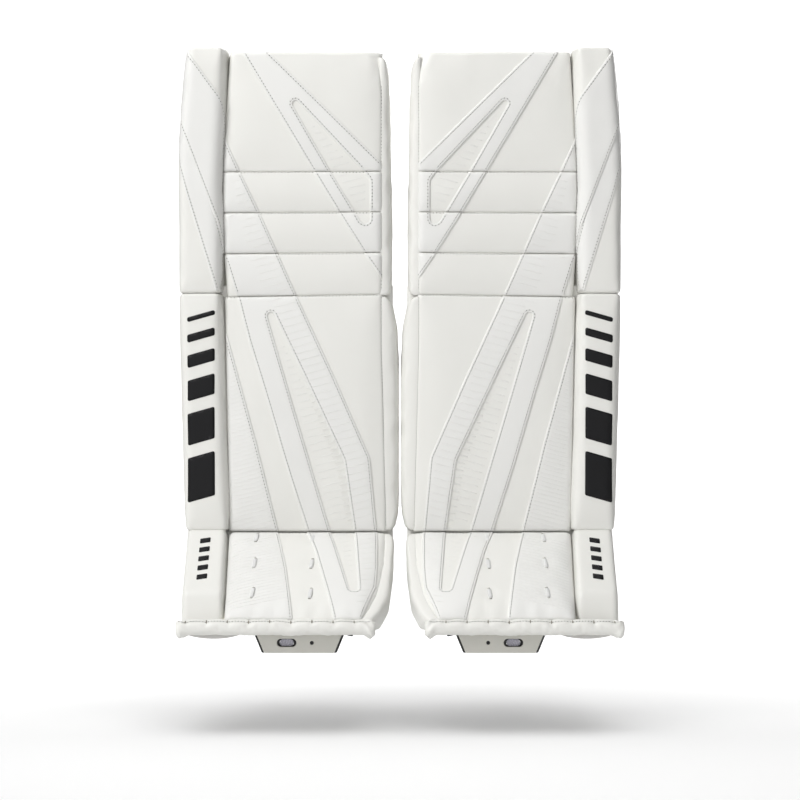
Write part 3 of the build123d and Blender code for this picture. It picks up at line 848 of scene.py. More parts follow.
def make_fronts():
    front_cover("thigh", "thigh", THIGH_INNER, THIGH_OUTER,
                moved(KNEE_SEAMS[0], SEWN), (FACE_TOP + 4,) * 2, (5.0, 6.0), (9.0, 2.2), 1.0, 1.0, top_corner)
    for place, top, foot in zip(("top", "middle", "bottom"), KNEE_SEAMS, KNEE_SEAMS[1:]):
        front_cover("knee_roll_" + place, "thigh", THIGH_INNER, THIGH_OUTER,
                    moved(foot, SEWN), moved(top, -SEWN), (4.5, 2.4), (11.0, 3.2), 1.2, top[0])
    front_cover("shin", "shin", SHIN_INNER, SHIN_OUTER,
                (BOOT_BREAK + 0.2,) * 2, moved(KNEE_SEAMS[3], -SEWN), (5.0, 3.4), (9.0, 3.0), 1.5, 3.0)
    make_gutters()


def make_gutters():
    """The strip sewn down the groove between the face and the outer roll, in darker leather as painted shade
    in the groove.
    """
    for body, low, high in (("thigh", KNEE_BREAK + 1, FACE_TOP), ("shin", BOOT_BREAK + 1, KNEE_BREAK - 1)):
        share, z = np.meshgrid(np.linspace(0, 1, 9), np.linspace(low, high, 40))
        x = between(THIGH_OUTER if body == "thigh" else SHIN_OUTER, z) - 5 + 18 * share
        near = np.stack([x, 15.0 + 3.0 * np.sin(math.pi * share), z], axis=2)
        far = np.stack([x, np.full_like(x, 26.0), z], axis=2)
        points, faces = shell(near, far)
        add_pair(body + "_gutter", body, points, faces, PAINTED_SHADE_LEATHER, "leather", flexes=True)
    share, down = np.meshgrid(np.linspace(0, 1, 9), np.linspace(2, BOOT_LENGTH - 3, 30))
    x = between(BOOT_OUTER, -down) - 5 + 16 * share
    points, faces = shell(boot_spot(x, down, -15.0), boot_spot(x, down, -24.0))
    add_pair("boot_gutter", "boot", points, faces, PAINTED_SHADE_LEATHER, "leather", flexes=True)


# ---------------------------------------------------------------- the boot's front
BOOT_INNER = [(-BOOT_LENGTH, 45), (-141, 36), (-115, 26.5), (-60, 18), (0, 16.5)]
BOOT_OUTER = [(-BOOT_LENGTH, 214), (0, 217)]


def boot_spot(x, s, out):
    """A point at x, so far down the boot's slope and out of its front, for arrays too."""
    x, s, out = np.broadcast_arrays(x, s, out)
    spot = BOOT_TOP + s[..., None] * BOOT_DOWN + out[..., None] * BOOT_OUT
    spot[..., 0] = x
    return spot


def make_boot_front():
    radius, crown = 8.0, 3.0
    depth = 36.0
    rows = places(BOOT_LENGTH, 4.5, radius, 6)
    columns = places(200, 4.5, radius, 6) / 200
    across, down = np.meshgrid(columns, rows)
    left, right = between(BOOT_INNER, -down), between(BOOT_OUTER, -down)
    x = left + (right - left) * across
    side = np.minimum(x - left, right - x)
    end = np.minimum(down, BOOT_LENGTH - down)
    dome = (1 - (2 * across - 1) ** 4) * (1 - np.abs(2 * down / BOOT_LENGTH - 1) ** 4)
    out = crown * dome - drop(side, radius) - drop(down, 4.0) - 0.6 * drop(BOOT_LENGTH - down, radius)
    for column in LACE_COLUMNS:
        for row in LACE_ROWS:
            reach = np.hypot(x - column, down - row)
            out = out - 1.6 * np.exp(-((reach / 9) ** 2))
    out = out - 0.6 * np.exp(-(((down - 150) / 8) ** 2)) * (0.5 + 0.5 * np.sin(x / 3.9))
    front = boot_spot(x, down, out)
    foot = (BOOT_TOP[2] - depth * BOOT_OUT[2] - BOOT_FOOT) / -BOOT_DOWN[2]
    back = boot_spot(x, down * foot / BOOT_LENGTH, -depth)
    points, faces = shell(front, back, walls=4)
    size = front.shape[0] * front.shape[1]
    fixed = np.ones(len(points), bool)
    fixed[:size] = (np.minimum(side, end) < radius * 0.4).ravel()
    points = stuffed(points, faces, fixed, spare=0.004, most=2.0)
    add_pair("boot_cover", "boot", points, faces, WHITE, "leather", fill=0.65, stands_for=["boot_panel"],
             flexes=True)
    ends = (-BOOT_LENGTH,) * 2, (0,) * 2
    chart = Chart("boot", BOOT_TOP, (1, 0, 0), -BOOT_DOWN, BOOT_OUT, BOOT_INNER, BOOT_OUTER, *ends)
    chart.wear(points, faces)
    charts["boot"] = chart


# ---------------------------------------------------------------- outer rolls
LACE_COLUMNS = (110.0, 181.0)
LACE_ROWS = (15.0, 65.0, 119.0)
ROLL_SIDES = {
    "upper": [(441, 231, 280), (458, 231, 280), (523, 229.3, 280), (576, 231.5, 280.5), (618, 230, 280.5),
              (665, 227, 277.5), (692, 226, 274.5), (ROLL_TOP, 225, 269), (ROLL_TOP + 6, 225, 268)],
    "middle": [(BOOT_BREAK, 220, 272), (KNEE_BREAK + 5, 230, 280)],
    "lower": [(-BOOT_LENGTH - 2, 218, 268.5), (4, 222, 270.5)],
}
WALL_LEAN = 7.0
WALL_DEPTH = 24.0
RIDGE_INSET = 2.5
RING_COUNT = 64  # points round a section


def ring_of(inner, outer, front, back):
    """A roll's rounded section as (x, depth), from its inner back corner round by the front.

    Its inner wall leans in behind the face's edge. Also returned: its girth and where its ridge is.
    """
    foot = inner - WALL_LEAN
    corners = [(foot, back, 4.0), (foot, front + WALL_DEPTH, 8.0), (inner, front, 3.5),
               (outer - RIDGE_INSET, front, 5.0), (outer, front + 16, 12.0), (outer, back, 6.0)]
    outline = np.array(rounded(corners, 1.5))
    closed = np.concatenate([outline, outline[:1]])
    travelled = measured(closed)
    ring = spaced(closed, travelled, np.linspace(0, travelled[-1], RING_COUNT + 1)[:-1])
    ridge = travelled[np.argmin(np.hypot(outline[:, 0] - inner, outline[:, 1] - front))]
    return ring, travelled[-1], ridge


def roll_mesh(levels, sides, place, front, back, round_end, seed):
    """A stuffed roll lofted through rounded sections. place(x, depth, level) gives a point."""
    low, high = levels[0], levels[-1]
    rings, girths, ridges = [], [], []
    for level in levels:
        inner = between([(r[0], r[1]) for r in sides], level)
        outer = between([(r[0], r[2]) for r in sides], level)
        shrink = float(drop(min(level - low, high - level), round_end)) * 0.8
        ring, girth, ridge = ring_of(inner + shrink, outer - shrink, front + shrink, back - shrink * 0.6)
        rings.append([place(x, y, level) for x, y in ring])
        girths.append(girth)
        ridges.append(ridge)
    rings = np.array(rings)
    points = rings.reshape(-1, 3)
    away = points - np.repeat(rings.mean(axis=1), RING_COUNT, axis=0)
    away /= np.linalg.norm(away, axis=1, keepdims=True)
    points = points + away * soft_noise(points, 40.0, 0.7, seed)[:, None]
    return *lofted(points, RING_COUNT), girths, float(np.median(ridges))


def upright_spot(x, depth, level):
    return (x, depth, level)


def add_roll(name, body, levels, place, front, back, round_end, out, up, settle):
    """Adds one length of the outer roll, and its chart."""
    sides = ROLL_SIDES[name]
    points, faces, girths, ridge = roll_mesh(levels, sides, place, front, back, round_end, levels[0])
    if settle:
        fixed = np.minimum(points[:, 2] - levels[0], levels[-1] - points[:, 2]) < 3
        fixed |= points[:, 1] > back - 8
        points = stuffed(points, faces, fixed, most=1.2)
    add_pair(f"outer_roll_{name}_cover", body, points, faces, WHITE, "leather", fill=0.8,
             stands_for=["outer_roll_" + name], flexes=True)
    rings = points[:len(levels) * RING_COUNT].reshape(len(levels), RING_COUNT, 3)
    charts["roll_" + name] = RollChart(body, out, up, rings, levels, girths, sides, ridge, (16.0, 14.0))


def make_outer_rolls():
    front = span("outer_roll_middle")[0].y - 1.5
    for name, body, foot, top in (
        ("upper", "thigh", ROLL_BREAK + 0.3, ROLL_TOP + 4),
        ("middle", "shin", BOOT_BREAK + 2.0, ROLL_BREAK - 0.3),
    ):
        levels = places(top - foot, 5.0, 5.0, 6) + foot
        add_roll(name, body, levels, upright_spot, front, CORE_BACK, 5.0, FRONT_OUT, (0, 0, 1), True)

    def boot_place(x, depth, level):
        """Sections square to the slope at the front, which fan back to the boot's flat rim."""
        share = (depth - front) / (CORE_BACK - front)
        under = 0.85 * max(0.0, -level - 123)
        spot = BOOT_TOP + BOOT_DOWN * -level - BOOT_OUT * (depth + under * (1 - share))
        high = BOOT_TOP[2] - 4 + 0.07 * level
        flat = np.array((0.0, 44.0 + level * 0.62, high + level * 0.35))
        spot = spot * (1 - share) + flat * share
        spot[2] = max(spot[2], BOOT_FOOT + 3)
        spot[0] = x
        return spot

    levels = -places(BOOT_LENGTH + 3, 5.0, 3.0, 5)[::-1] + 1
    add_roll("lower", "boot", levels, boot_place, front + 2, CORE_BACK - 10, 3.0, BOOT_OUT, -BOOT_DOWN, False)


LAYER_ONE = [(300, 792, 0), (266, 749, 0), (226, 694, 0), (214, 668, 0), (214, 493, 0),
             (232.5, 541, 0), (276.5, 655, 0), (300, 716, 0)]
LAYER_TWO = [(300, 728, 0), (276.5, 667, 0), (232.5, 553, 0), (224, 520, 0), (214, 500, 0), (214, 440, 0),
             (229, 440, 0), (234.6, 458, 0), (279, 602, 0), (300, 670, 0)]


def make_roll_layers():
    """The two layers of leather that cross the upper roll."""
    chart = charts["roll_upper"]
    raised_band("roll_layer_lower", chart, rounded(LAYER_TWO), rise=1.0)
    raised_band("roll_layer_upper", chart, rounded(LAYER_ONE), rise=2.2)


# ---------------------------------------------------------------- inner edges
def gusset_mesh(levels, extreme, joined, place, front, back, seed):
    """A puffed side wall: a soft D in section that closes in at its ends."""
    rings = []
    for level in levels:
        bulge, seam = between(extreme, level), between(joined, level)
        end = min(level - levels[0], levels[-1] - level)
        shrink = float(drop(end, 7.0)) * 0.8
        ring = []
        for t in np.linspace(0, math.pi, 25):
            shape = abs(math.sin(t)) ** 0.42
            x = seam - (seam - bulge - shrink) * shape
            turn = math.copysign(abs(math.cos(t)) ** 0.6, math.cos(t))
            depth = (front + back) / 2 - (back - front - shrink) / 2 * turn
            ring.append(place(x, depth, level))
        ring += [place(seam + 5, depth, level) for depth in np.linspace(back - 1, front + 1, 6)]
        rings.append(ring)
    points = np.concatenate(rings)
    points[:, 0] += soft_noise(points, 26.0, 1.2, seed)
    return lofted(points, len(rings[0]))


def make_inner_edges():
    for name, body, foot, top, extreme, joined in (
        ("upper", "thigh", KNEE_BREAK + 2, FACE_TOP - 3,
         [(445, 10.5), (600, 12), (690, 14), (730, 15.5), (FACE_TOP, 19)], [(400, 22.5), (FACE_TOP, 22.5)]),
        ("lower", "shin", BOOT_BREAK + 2, KNEE_BREAK + 0.5,
         [(BOOT_BREAK, 7), (165, 3), (220, 1.8), (340, 2.0), (400, 4.5), (430, 9), (KNEE_BREAK, 14)],
         [(BOOT_BREAK, 16.5), (380, 22.5), (KNEE_BREAK, 22.5)]),
    ):
        levels = places(top - foot, 5.0, 7.0, 5) + foot
        points, faces = gusset_mesh(levels, extreme, joined, upright_spot, 2.0, CORE_BACK, foot)
        fixed = points[:, 0] > np.array([between(joined, z) for z in points[:, 2]]) - 2
        fixed |= points[:, 1] > CORE_BACK - 6
        points = stuffed(points, faces, fixed, most=1.5, spare=0.004)
        points[:, 0] = np.maximum(points[:, 0], 1.2)
        add_pair(f"inner_edge_{name}_cover", body, points, faces, WHITE, "leather", fill=0.6,
                 stands_for=["inner_edge_" + name], flexes=True)

    def boot_place(x, depth, level):
        spot = BOOT_TOP + BOOT_DOWN * -level + BOOT_OUT * -depth
        spot[2] = max(spot[2], BOOT_FOOT + 1)
        spot[0] = x
        return spot

    levels = -places(BOOT_LENGTH + 4, 5.0, 7.0, 5)[::-1] + 1
    extreme = [(-164, 34), (-140, 21), (-118, 13), (-60, 8.5), (-5, 7.5), (1, 9)]
    joined = [(-164, 46), (-141, 36.5), (-115, 27), (-60, 18.5), (1, 17)]
    points, faces = gusset_mesh(levels, extreme, joined, boot_place, 2.0, 36.0, 5.0)
    add_pair("inner_edge_boot_cover", "boot", points, faces, WHITE, "leather", fill=0.6,
             stands_for=["inner_edge_boot"], flexes=True)


# ---------------------------------------------------------------- toe roll
TACK_PITCH = 25.6
TOE_DROP = 1.8
SEAT_ANGLE = 0.62


def make_toe_roll():
    low, high = span("toe_roll")
    middle_y, middle_z = (low.y + high.y) / 2, (low.z + high.z) / 2 - TOE_DROP
    full = (high.z - low.z) / 2
    levels = places(high.x - low.x, 2.2, 7.0, 7) + low.x
    count = 30
    points = []
    for x in levels:
        end = min(x - levels[0], levels[-1] - x)
        knob = math.exp(-(((end - 5) / 7) ** 2))
        radius = full + 0.2 - float(drop(end, 6.0)) * 0.7 + 1.2 * knob
        phase = (x - low.x) / TACK_PITCH
        near = abs(phase - round(phase)) * TACK_PITCH
        sway = 0.9 * noise.noise(Vector((x / 24, 0, 4)))
        for turn in range(count):
            angle = math.tau * turn / count
            upper = max(0.0, math.cos(angle - SEAT_ANGLE))
            pinch = 1.1 * math.exp(-((near / 4.5) ** 2)) * upper ** 2
            groove = 0.9 * math.exp(-(((angle - SEAT_ANGLE) / 0.13) ** 2))
            fold = noise.noise(Vector((x / 4.5, 1.4 * math.cos(angle), 1.4 * math.sin(angle))))
            crease = 1.5 * knob * math.sin(4 * angle + x * 0.35)
            r = radius - pinch - groove + (0.4 + 1.0 * knob) * fold + crease
            level = middle_z + r * math.cos(angle) + sway - 3.0 * knob
            points.append((x, middle_y - r * math.sin(angle), level))
    points, faces = lofted(points, count)
    fixed = points[:, 1] > middle_y + 3
    points = stuffed(points, faces, fixed, most=0.5, spare=0.01)
    add_pair("toe_roll_cover", "boot", points, faces, WHITE, "leather", fill=0.7, stands_for=["toe_roll"])
    chart = Chart("boot", (0, middle_y, middle_z), (1, 0, 0), (0, math.cos(SEAT_ANGLE), math.sin(SEAT_ANGLE)),
                  (0, -math.sin(SEAT_ANGLE), math.cos(SEAT_ANGLE)), [(-20, low.x), (20, low.x)],
                  [(-20, high.x), (20, high.x)], (-20,) * 2, (20,) * 2)
    chart.wear(points, faces)
    stitch_row(chart, [(low.x + 4, 0), (high.x - 4, 0)], height=0.1, pitch=3.6, length=2.4)
    for k in range(1, int((high.x - low.x) / TACK_PITCH) + 1):
        x = low.x + k * TACK_PITCH
        head, tail = chart.at(x, -2.8)[0], chart.at(x, 2.6)[0]
        thread_bar("boot", head + chart.out * 0.3, tail + chart.out * 0.3, chart.out, 0.75, "tacks")


def make_toe_underside():
    """The lining's edge and the end of the heel strap, which just show under the toe roll."""
    arc = [(227 + 38 * math.cos(t), 30 - 10.5 * math.sin(t)) for t in np.linspace(0, math.pi, 24)]
    points, faces = plate(arc[::-1], [], -122.0, -117.0, 1.2)
    add_pair("liner_edge", "boot", points, faces, LINER_EDGE, "lining", crease=40)
    corners = [(57, 22.0, 1.5), (65, 23.5, 1.5), (65, 32, 0), (57, 32, 0)]
    points, faces = plate(rounded(corners), [], -121.0, -118.5, 0.4)
    add_pair("strap_end", "boot", points, faces, TAPE, "webbing", cloth=points[:, (0, 2)], crease=25)


# ---------------------------------------------------------------- decoration of the fronts
# Outlines in their section's chart: (a, b, radius of the corner).
BAND_ONE = [(177.4, 762, 0), (207, 762, 0), (109, 598, 0), (78, 547, 0), (45, 495, 0), (20, 459, 0),
            (14, 601.8, 0)]
WINDOW_ONE = [(132, 690.6, 3.4), (137.7, 686.4, 3.4), (87.3, 598.9, 0), (50, 536.5, 3), (38, 528.5, 6),
              (38, 589, 7), (46.8, 600.4, 0)]
BAND_TWO = [(232, 664, 0), (202, 598, 0), (177.5, 547, 0), (154, 494, 0), (129, 438, 0), (83, 339, 0),
            (38, 237, 12), (28, 128, 0), (113, 128, 0), (146, 232, 0), (173, 325, 0), (192, 386, 0),
            (205, 436, 0), (219, 481, 0), (234, 520, 0)]
WINDOW_TWO = [(161.2, 422.3, 4), (169, 419.3, 4), (137.5, 311, 0), (106.6, 206, 0), (83.3, 128, 0),
              (56, 128, 0), (71.5, 234, 10), (122, 341, 0)]
BAND_THREE = [(226, 418, 0), (182, 257, 0), (150, 128, 0), (236, 128, 0), (236, 418, 0)]
BOOT_TWO = [(28.3, 8, 0), (27.8, -70, 0), (29.8, -105, 0), (41, -141, 0), (50, -172, 0), (78, -172, 0),
            (106, -45, 0), (120.5, 8, 0)]
BOOT_WINDOW = [(58.8, 12, 0), (50.7, -115, 5), (61.4, -115, 5), (91, 12, 0)]
BOOT_THREE = [(156, 8, 0), (141, -74, 0), (129, -172, 0), (236, -172, 0), (236, 8, 0)]
SEAM_INSET = 0.6
RIB_SPACING = 9.5
FAN_SPACING = 5.4


def make_decoration():
    one, window_one = rounded(BAND_ONE), [rounded(WINDOW_ONE)]
    two, window_two, three = rounded(BAND_TWO), [rounded(WINDOW_TWO)], rounded(BAND_THREE)
    boot_two, boot_window, boot_three = rounded(BOOT_TWO), [rounded(BOOT_WINDOW)], rounded(BOOT_THREE)
    for name in ("thigh", *SEAM_NODES[:3]):
        raised_band(f"{name}_band_inner", charts[name], one, window_one)
        raised_band(f"{name}_band_outer", charts[name], two)
    raised_band("shin_band", charts["shin"], two, window_two)
    raised_band("shin_band_outer", charts["shin"], three)
    raised_band("boot_band", charts["boot"], boot_two, boot_window)
    raised_band("boot_band_outer", charts["boot"], boot_three)

    shin, boot = charts["shin"], charts["boot"]
    rib_field(shin, window_two[0], [], 150, 430, RIB_SPACING, 0.0)
    rib_field(shin, two, window_two, 146, 470, RIB_SPACING, BAND_HEIGHT, (0.0, 0.42))
    rib_field(shin, three, [], 150, 390, FAN_SPACING, BAND_HEIGHT)
    rib_field(boot, boot_window[0], [], -110, 10, RIB_SPACING, 0.0)
    rib_field(boot, boot_two, boot_window, -150, 6, RIB_SPACING, BAND_HEIGHT, (0.0, 0.3))
    rib_field(boot, boot_three, [], -120, 6, FAN_SPACING, BAND_HEIGHT)
    for name in ("thigh", *SEAM_NODES[:3]):
        chart = charts[name]
        rib_field(chart, window_one[0], [], min(chart.low), 680, RIB_SPACING, 0.0)
        rib_field(chart, two, [], min(chart.low), 620, RIB_SPACING, BAND_HEIGHT, (0.05, 0.5))


def make_seam_stitches():
    """The rows of thread along the seams between sections and down the panels' inner edge."""
    for name in (*SEAM_NODES[:3], "shin"):
        chart = charts[name]
        levels = [level - 1.3 for level in chart.high]
        ends = [(between(chart.inner, chart.high[0]) + 3, levels[0]),
                (between(chart.outer, chart.high[1]) - 3, levels[1])]
        stitch_row(chart, ends, inset=SEAM_INSET)
    stitch_row(charts["boot"], [(20, -1.6), (214, -1.6)], inset=SEAM_INSET)
    for name in ("thigh", *SEAM_NODES[:3], "shin", "boot"):
        chart = charts[name]
        levels = np.linspace(chart.low[0] + 4, chart.high[0] - 4, 12)
        stitch_row(chart, [(between(chart.inner, b) + 2.0, b) for b in levels], inset=SEAM_INSET)


# ---------------------------------------------------------------- laces and toe tab
def make_laces():
    """Six short loops of lace, each a flat braid that dives into the panel at both ends."""
    chart = charts["boot"]
    lean = math.radians(6)
    run = np.array((math.sin(lean), -math.cos(lean)))
    rings, sides = 13, 10
    points, faces = [], []
    for column, row in itertools.product(LACE_COLUMNS, LACE_ROWS):
        start = len(points)
        seat = BAND_HEIGHT if column > LACE_COLUMNS[0] else 0.0
        for t in np.linspace(-1, 1, rings):
            base = chart.at(*(np.array((column, -row)) + run * t * 8.4))[0] + chart.out * seat
            arch = math.sqrt(max(0.0, 1 - t ** 4))
            lift, swell = 2.2 * arch - 0.9, 0.72 + 0.28 * arch
            for angle in np.arange(sides) * math.tau / sides:
                side = np.array((math.cos(lean), 0, 0)) * math.cos(angle) * 2.6 * swell
                points.append(base + chart.out * (lift + math.sin(angle) * 1.2 * swell) + side)
        faces += loft_faces(rings, sides, start)
        faces.append(tuple(range(start, start + sides))[::-1])
        faces.append(tuple(range(start + (rings - 1) * sides, start + rings * sides)))
        # Dark discs at both ends of each loop: painted shade in the holes that the lace enters.
        for t in (-8.8, 8.8):
            needle_hole(chart, *(np.array((column, -row)) + run * t), seat, 1.9, "eyelets")
    add_pair("lace_loops", "boot", points, outward(points, faces), LACE, "lace", stands_for=["boot_laces"],
             flexes=True)


def plate(outline, holes, front, back, bevel):
    """A flat plate in x and z with holes, its edges bevelled, as (points, faces)."""
    loops = [outline, *holes]
    starts = np.cumsum([0, *map(len, loops)]).tolist()
    flat = [p for loop in loops for p in loop]
    found, faces = triangulated(flat, list(zip(starts, map(len, loops))), [outline], holes, 1e-5)
    inset = found.copy()
    for loop in loops:
        for old, new in zip(np.array(loop), drawn_in(loop, bevel, 1 if loop is outline else -1)):
            inset[np.argmin(np.linalg.norm(found - old, axis=1))] = new
    layers = [(inset, front), (found, front + bevel), (found, back - bevel), (inset, back)]
    return thickened([np.insert(p, 1, y, axis=1) for p, y in layers], faces)


def oval(centre_x, centre_z, length, width, step=0.8):
    """A slot's outline with round ends."""
    reach = (length - width) / 2
    half = width / 2
    corners = [(centre_x + i * (reach + half), centre_z + j * half, half * 0.999)
               for i, j in ((-1, -1), (1, -1), (1, 1), (-1, 1))]
    return rounded(corners, step)


def make_toe_tab():
    low, high = span("toe_tab")
    rear_low, rear_high = span("toe_tab_backing")
    middle = (low.x + high.x) / 2
    half_top = (high.x - low.x) / 2
    half_foot = half_top - 10.5
    slot_x, hole_x, level = middle + 15.5, middle - 15.5, 12.5

    def outline(rim, top, foot):
        return rounded([(middle - half_top - rim, top, 1.0), (middle - half_foot - rim, foot, 2.0),
                        (middle + half_foot + rim, foot, 2.0), (middle + half_top + rim, top, 1.0)])

    face = outline(0, high.z, low.z)
    slot, hole = oval(slot_x, level, 24, 10), oval(hole_x, level, 5.02, 5.0)
    points, faces = plate(face, [slot, hole], low.y, high.y, 0.5)
    add_pair("toe_tab_front", "toe_tab", points, faces, GREY_TAB, "tab", crease=25, stands_for=["toe_tab"])
    points, faces = plate(outline(2.9, rear_high.z, rear_low.z), [oval(slot_x, level, 17.5, 8.4)],
                          high.y + 0.02, rear_high.y, 0.3)
    add_pair("toe_tab_rear", "toe_tab", points, faces, RUBBER, "rubber", crease=25,
             stands_for=["toe_tab_backing"])
    stud, sides = [], 20
    for radius, y in ((2.4, high.y + 0.5), (2.4, low.y + 0.9), (2.0, low.y + 0.5), (1.2, low.y + 0.4)):
        turns = [math.tau * k / sides for k in range(sides)]
        stud += [(hole_x + radius * math.cos(t), y, level + radius * math.sin(t)) for t in turns]
    faces = [*loft_faces(4, sides), tuple(range(sides))[::-1], tuple(range(3 * sides, 4 * sides))]
    add_pair("toe_tab_stud", "toe_tab", stud, outward(stud, faces), RUBBER, "rubber")

    strap_low, strap_high = span("toe_elastic")
    tilt = math.radians(22)
    c, s = math.cos(tilt), math.sin(tilt)
    tape = [(slot_x + a * c - b * s, level + a * s + b * c) for a, b in ((-8, -7), (8, -7), (8, 7), (-8, 7))]
    tape = along([*tape, tape[0]], 3.0)[:-1]
    points, faces = plate(tape, [], strap_low.y - 0.05, strap_high.y, 0.4)
    cloth = points[:, (0, 2)] @ np.array([[c, -s], [s, c]])
    add_pair("toe_elastic_tape", "toe_tab", points, faces, ELASTIC, "elastic", cloth=cloth, crease=25,
             stands_for=["toe_elastic"])

    sides = [[(0, middle + sign * half_foot), (25, middle + sign * half_top)] for sign in (-1, 1)]
    chart = Chart("toe_tab", (0, 0, 0), (1, 0, 0), (0, 0, 1), FRONT_OUT, *sides, (0.5,) * 2, (26,) * 2)
    chart.wear(*plate(face, [], low.y, high.y, 0.5))
    for sign in (-1, 1):
        foot, top = middle + sign * (half_foot - 2.6), middle + sign * (half_top - 3.4)
        stitch_row(chart, [(foot, 2.5), (top, 20)])


# ---------------------------------------------------------------- the back
def bent(path, radius, step):
    """A path in x and y with its corners turned on arcs, resampled, with its unit normals."""
    made = [np.array(path[0], float)]
    for before, here, after in zip(path, path[1:], path[2:]):
        before, here, after = (np.array(p, float) for p in (before, here, after))
        into, away = before - here, after - here
        reach = min(radius, 0.49 * np.linalg.norm(into), 0.49 * np.linalg.norm(away))
        into, away = here + into / np.linalg.norm(into) * reach, here + away / np.linalg.norm(away) * reach
        for t in np.linspace(0, 1, 14):
            made.append((1 - t) ** 2 * into + 2 * t * (1 - t) * here + t * t * away)
    made.append(np.array(path[-1], float))
    travelled = measured(made)
    wanted = step(travelled[-1])
    line = spaced(made, travelled, wanted)
    run = np.gradient(line, wanted, axis=0)
    run /= np.linalg.norm(run, axis=1, keepdims=True)
    return line, np.stack([-run[:, 1], run[:, 0]], axis=1), wanted


def wall_pad(name, body, path, bend_radius, low, high, depth, finish, slot, stands_for,
             edge, step=6.0, fill=None, channels=()):
    """A thick padded wall that follows a path in x and y, between two heights.

    edge is the radius of its rounding, and channels are the heights of the seams sewn across it.
    """
    line, normals, travelled = bent(path, bend_radius, lambda length: places(length, step, edge, 5))
    length = travelled[-1]
    rows = places(high - low, step, edge, 5) + low
    along_wall, level = np.meshgrid(travelled, rows)
    end = np.minimum(level - low, high - level)
    side = np.minimum(along_wall, length - along_wall)
    half = depth / 2 - np.minimum(drop(end, edge) + drop(side, edge), 0.49 * depth)
    for middle in channels:
        half = half - 0.22 * depth * np.exp(-(((level - middle) / 3.2) ** 2))
    offset = normals * half[..., None]
    grids = [np.concatenate([line + offset * sign, level[..., None]], axis=2) for sign in (1, -1)]
    points, faces = shell(*grids)
    cloth = np.tile(np.stack([along_wall, level], axis=2).reshape(-1, 2), (2, 1))
    if fill is not None:
        fixed = np.tile((np.minimum(end, side) < edge * 0.3).ravel(), 2)
        points = stuffed(points, faces, fixed, most=0.1 * depth, frames=10)
    add_pair(name, body, points, faces, finish, slot, cloth=cloth, fill=fill, stands_for=stands_for)
    surfaces = points.reshape(2, len(rows), len(line), 3)
    bound = finish is WHITE and fill is not None
    if bound:
        bind_edge(name, body, surfaces.mean(axis=0))
    if bound or finish is TAPE:
        seam = pad_seam(length, low, high, edge + 3.0 if bound else 3.5)
        for surface, sign in zip(surfaces, (1, -1)):
            sew(body, surface, normals * sign, travelled, rows, seam)


def pad_seam(length, low, high, inset):
    """The closed line of a seam round a pad or a strap, in (distance along it, level)."""
    near, far, foot, top = inset, length - inset, low + inset, high - inset
    return [(near, foot), (far, foot), (far, top), (near, top), (near, foot)]


def sew(body, surface, normals, travelled, rows, path, pitch=5.0, length=3.4):
    """Stitches on a wall's face, along a path in (distance along it, level)."""

    def spot(a, b):
        columns = [[np.interp(a, travelled, row[:, k]) for row in surface] for k in range(3)]
        return np.array([np.interp(b, rows, column) for column in columns])

    for start, end in zip(path, path[1:]):
        start, end = np.array(start, float), np.array(end, float)
        run = np.linalg.norm(end - start)
        for middle in np.arange(pitch / 2, run, pitch):
            a, b = (start + (end - start) * (middle + side * length / 2) / run for side in (-1, 1))
            out = np.array([np.interp(a[0], travelled, normals[:, k]) for k in (0, 1)] + [0.0])
            thread_bar(body, spot(*a), spot(*b), out, 0.5)


def bind_edge(name, body, middle, radius=1.7, step=4.0):
    """The bound seam round the rim of a padded wall."""
    loop = middle.reshape(-1, 3)[rim_of(*middle.shape[:2])]
    closed = np.concatenate([loop, loop[:1]])
    travelled = measured(closed)
    even = spaced(closed, travelled, np.linspace(0, travelled[-1], round(travelled[-1] / step) + 1)[:-1])
    add_pair(name + "_binding", body, *cord_round(even, radius), BAND, "leather")


def cord_round(loop, radius, sides=8):
    """A closed tube round a closed loop of points, as (points, faces), for piping."""
    run = np.roll(loop, -1, axis=0) - np.roll(loop, 1, axis=0)
    run /= np.linalg.norm(run, axis=1, keepdims=True)
    middle = loop.mean(axis=0)
    made = []
    for spot, forward in zip(loop, run):
        first = np.cross(forward, spot - middle)
        first /= max(np.linalg.norm(first), 1e-6)
        second = np.cross(forward, first)
        made += [spot + (first * math.cos(t) + second * math.sin(t)) * radius
                 for t in np.arange(sides) * math.tau / sides]
    faces = [tuple(i % len(made) for i in f) for f in loft_faces(len(loop) + 1, sides)]
    return made, outward(made, faces)


def make_back():
    low, high = span("thigh_back")
    middle = (low.y + high.y) / 2
    wall_pad("thigh_back_lining", "thigh", [(low.x + 14, middle), (high.x - 14, middle)], 1,
             low.z, high.z, high.y - low.y, LINING, "lining", ["thigh_back"], edge=1.7, step=8)
    low, high = span("knee_block")
    middle = (low.x + high.x) / 2
    wall_pad("knee_block_cover", "thigh", [(middle, low.y), (middle, high.y)], 1,
             low.z, high.z, high.x - low.x, WHITE, "leather", ["knee_block"], edge=9, fill=0.8)
    wing("knee_wing", "knee_wing", 1)
    low, high = span("knee_strap")
    middle = (low.y + high.y) / 2
    strap("knee_strap_tape", "knee_wing", [(high.x, middle), (low.x, middle)], 1, low.z, high.z,
          ["knee_strap"])
    make_leg_channel()
    wing("calf_wing_inner", "shin", -1)
    wing("calf_wing_outer", "calf_wing", 1)
    make_calf_straps()
    make_boot_back()


def make_leg_channel():
    low, high = span("leg_channel")
    side, base = 22.0, low.y + 7
    seams = np.linspace(low.z, high.z, 6)[1:-1]
    wall_pad("leg_channel_base", "shin", [(low.x + 4, base), (high.x - 4, base)], 1, low.z, high.z, 14,
             LINING, "lining", ["leg_channel"], edge=5, fill=0.6, channels=seams)
    for end, x in (("inner", low.x + side / 2), ("outer", high.x - side / 2)):
        wall_pad(f"leg_channel_side_{end}", "shin", [(x, base - 4), (x, high.y)], 1, low.z, high.z, side,
                 LINING, "lining", [], edge=8, fill=0.6)


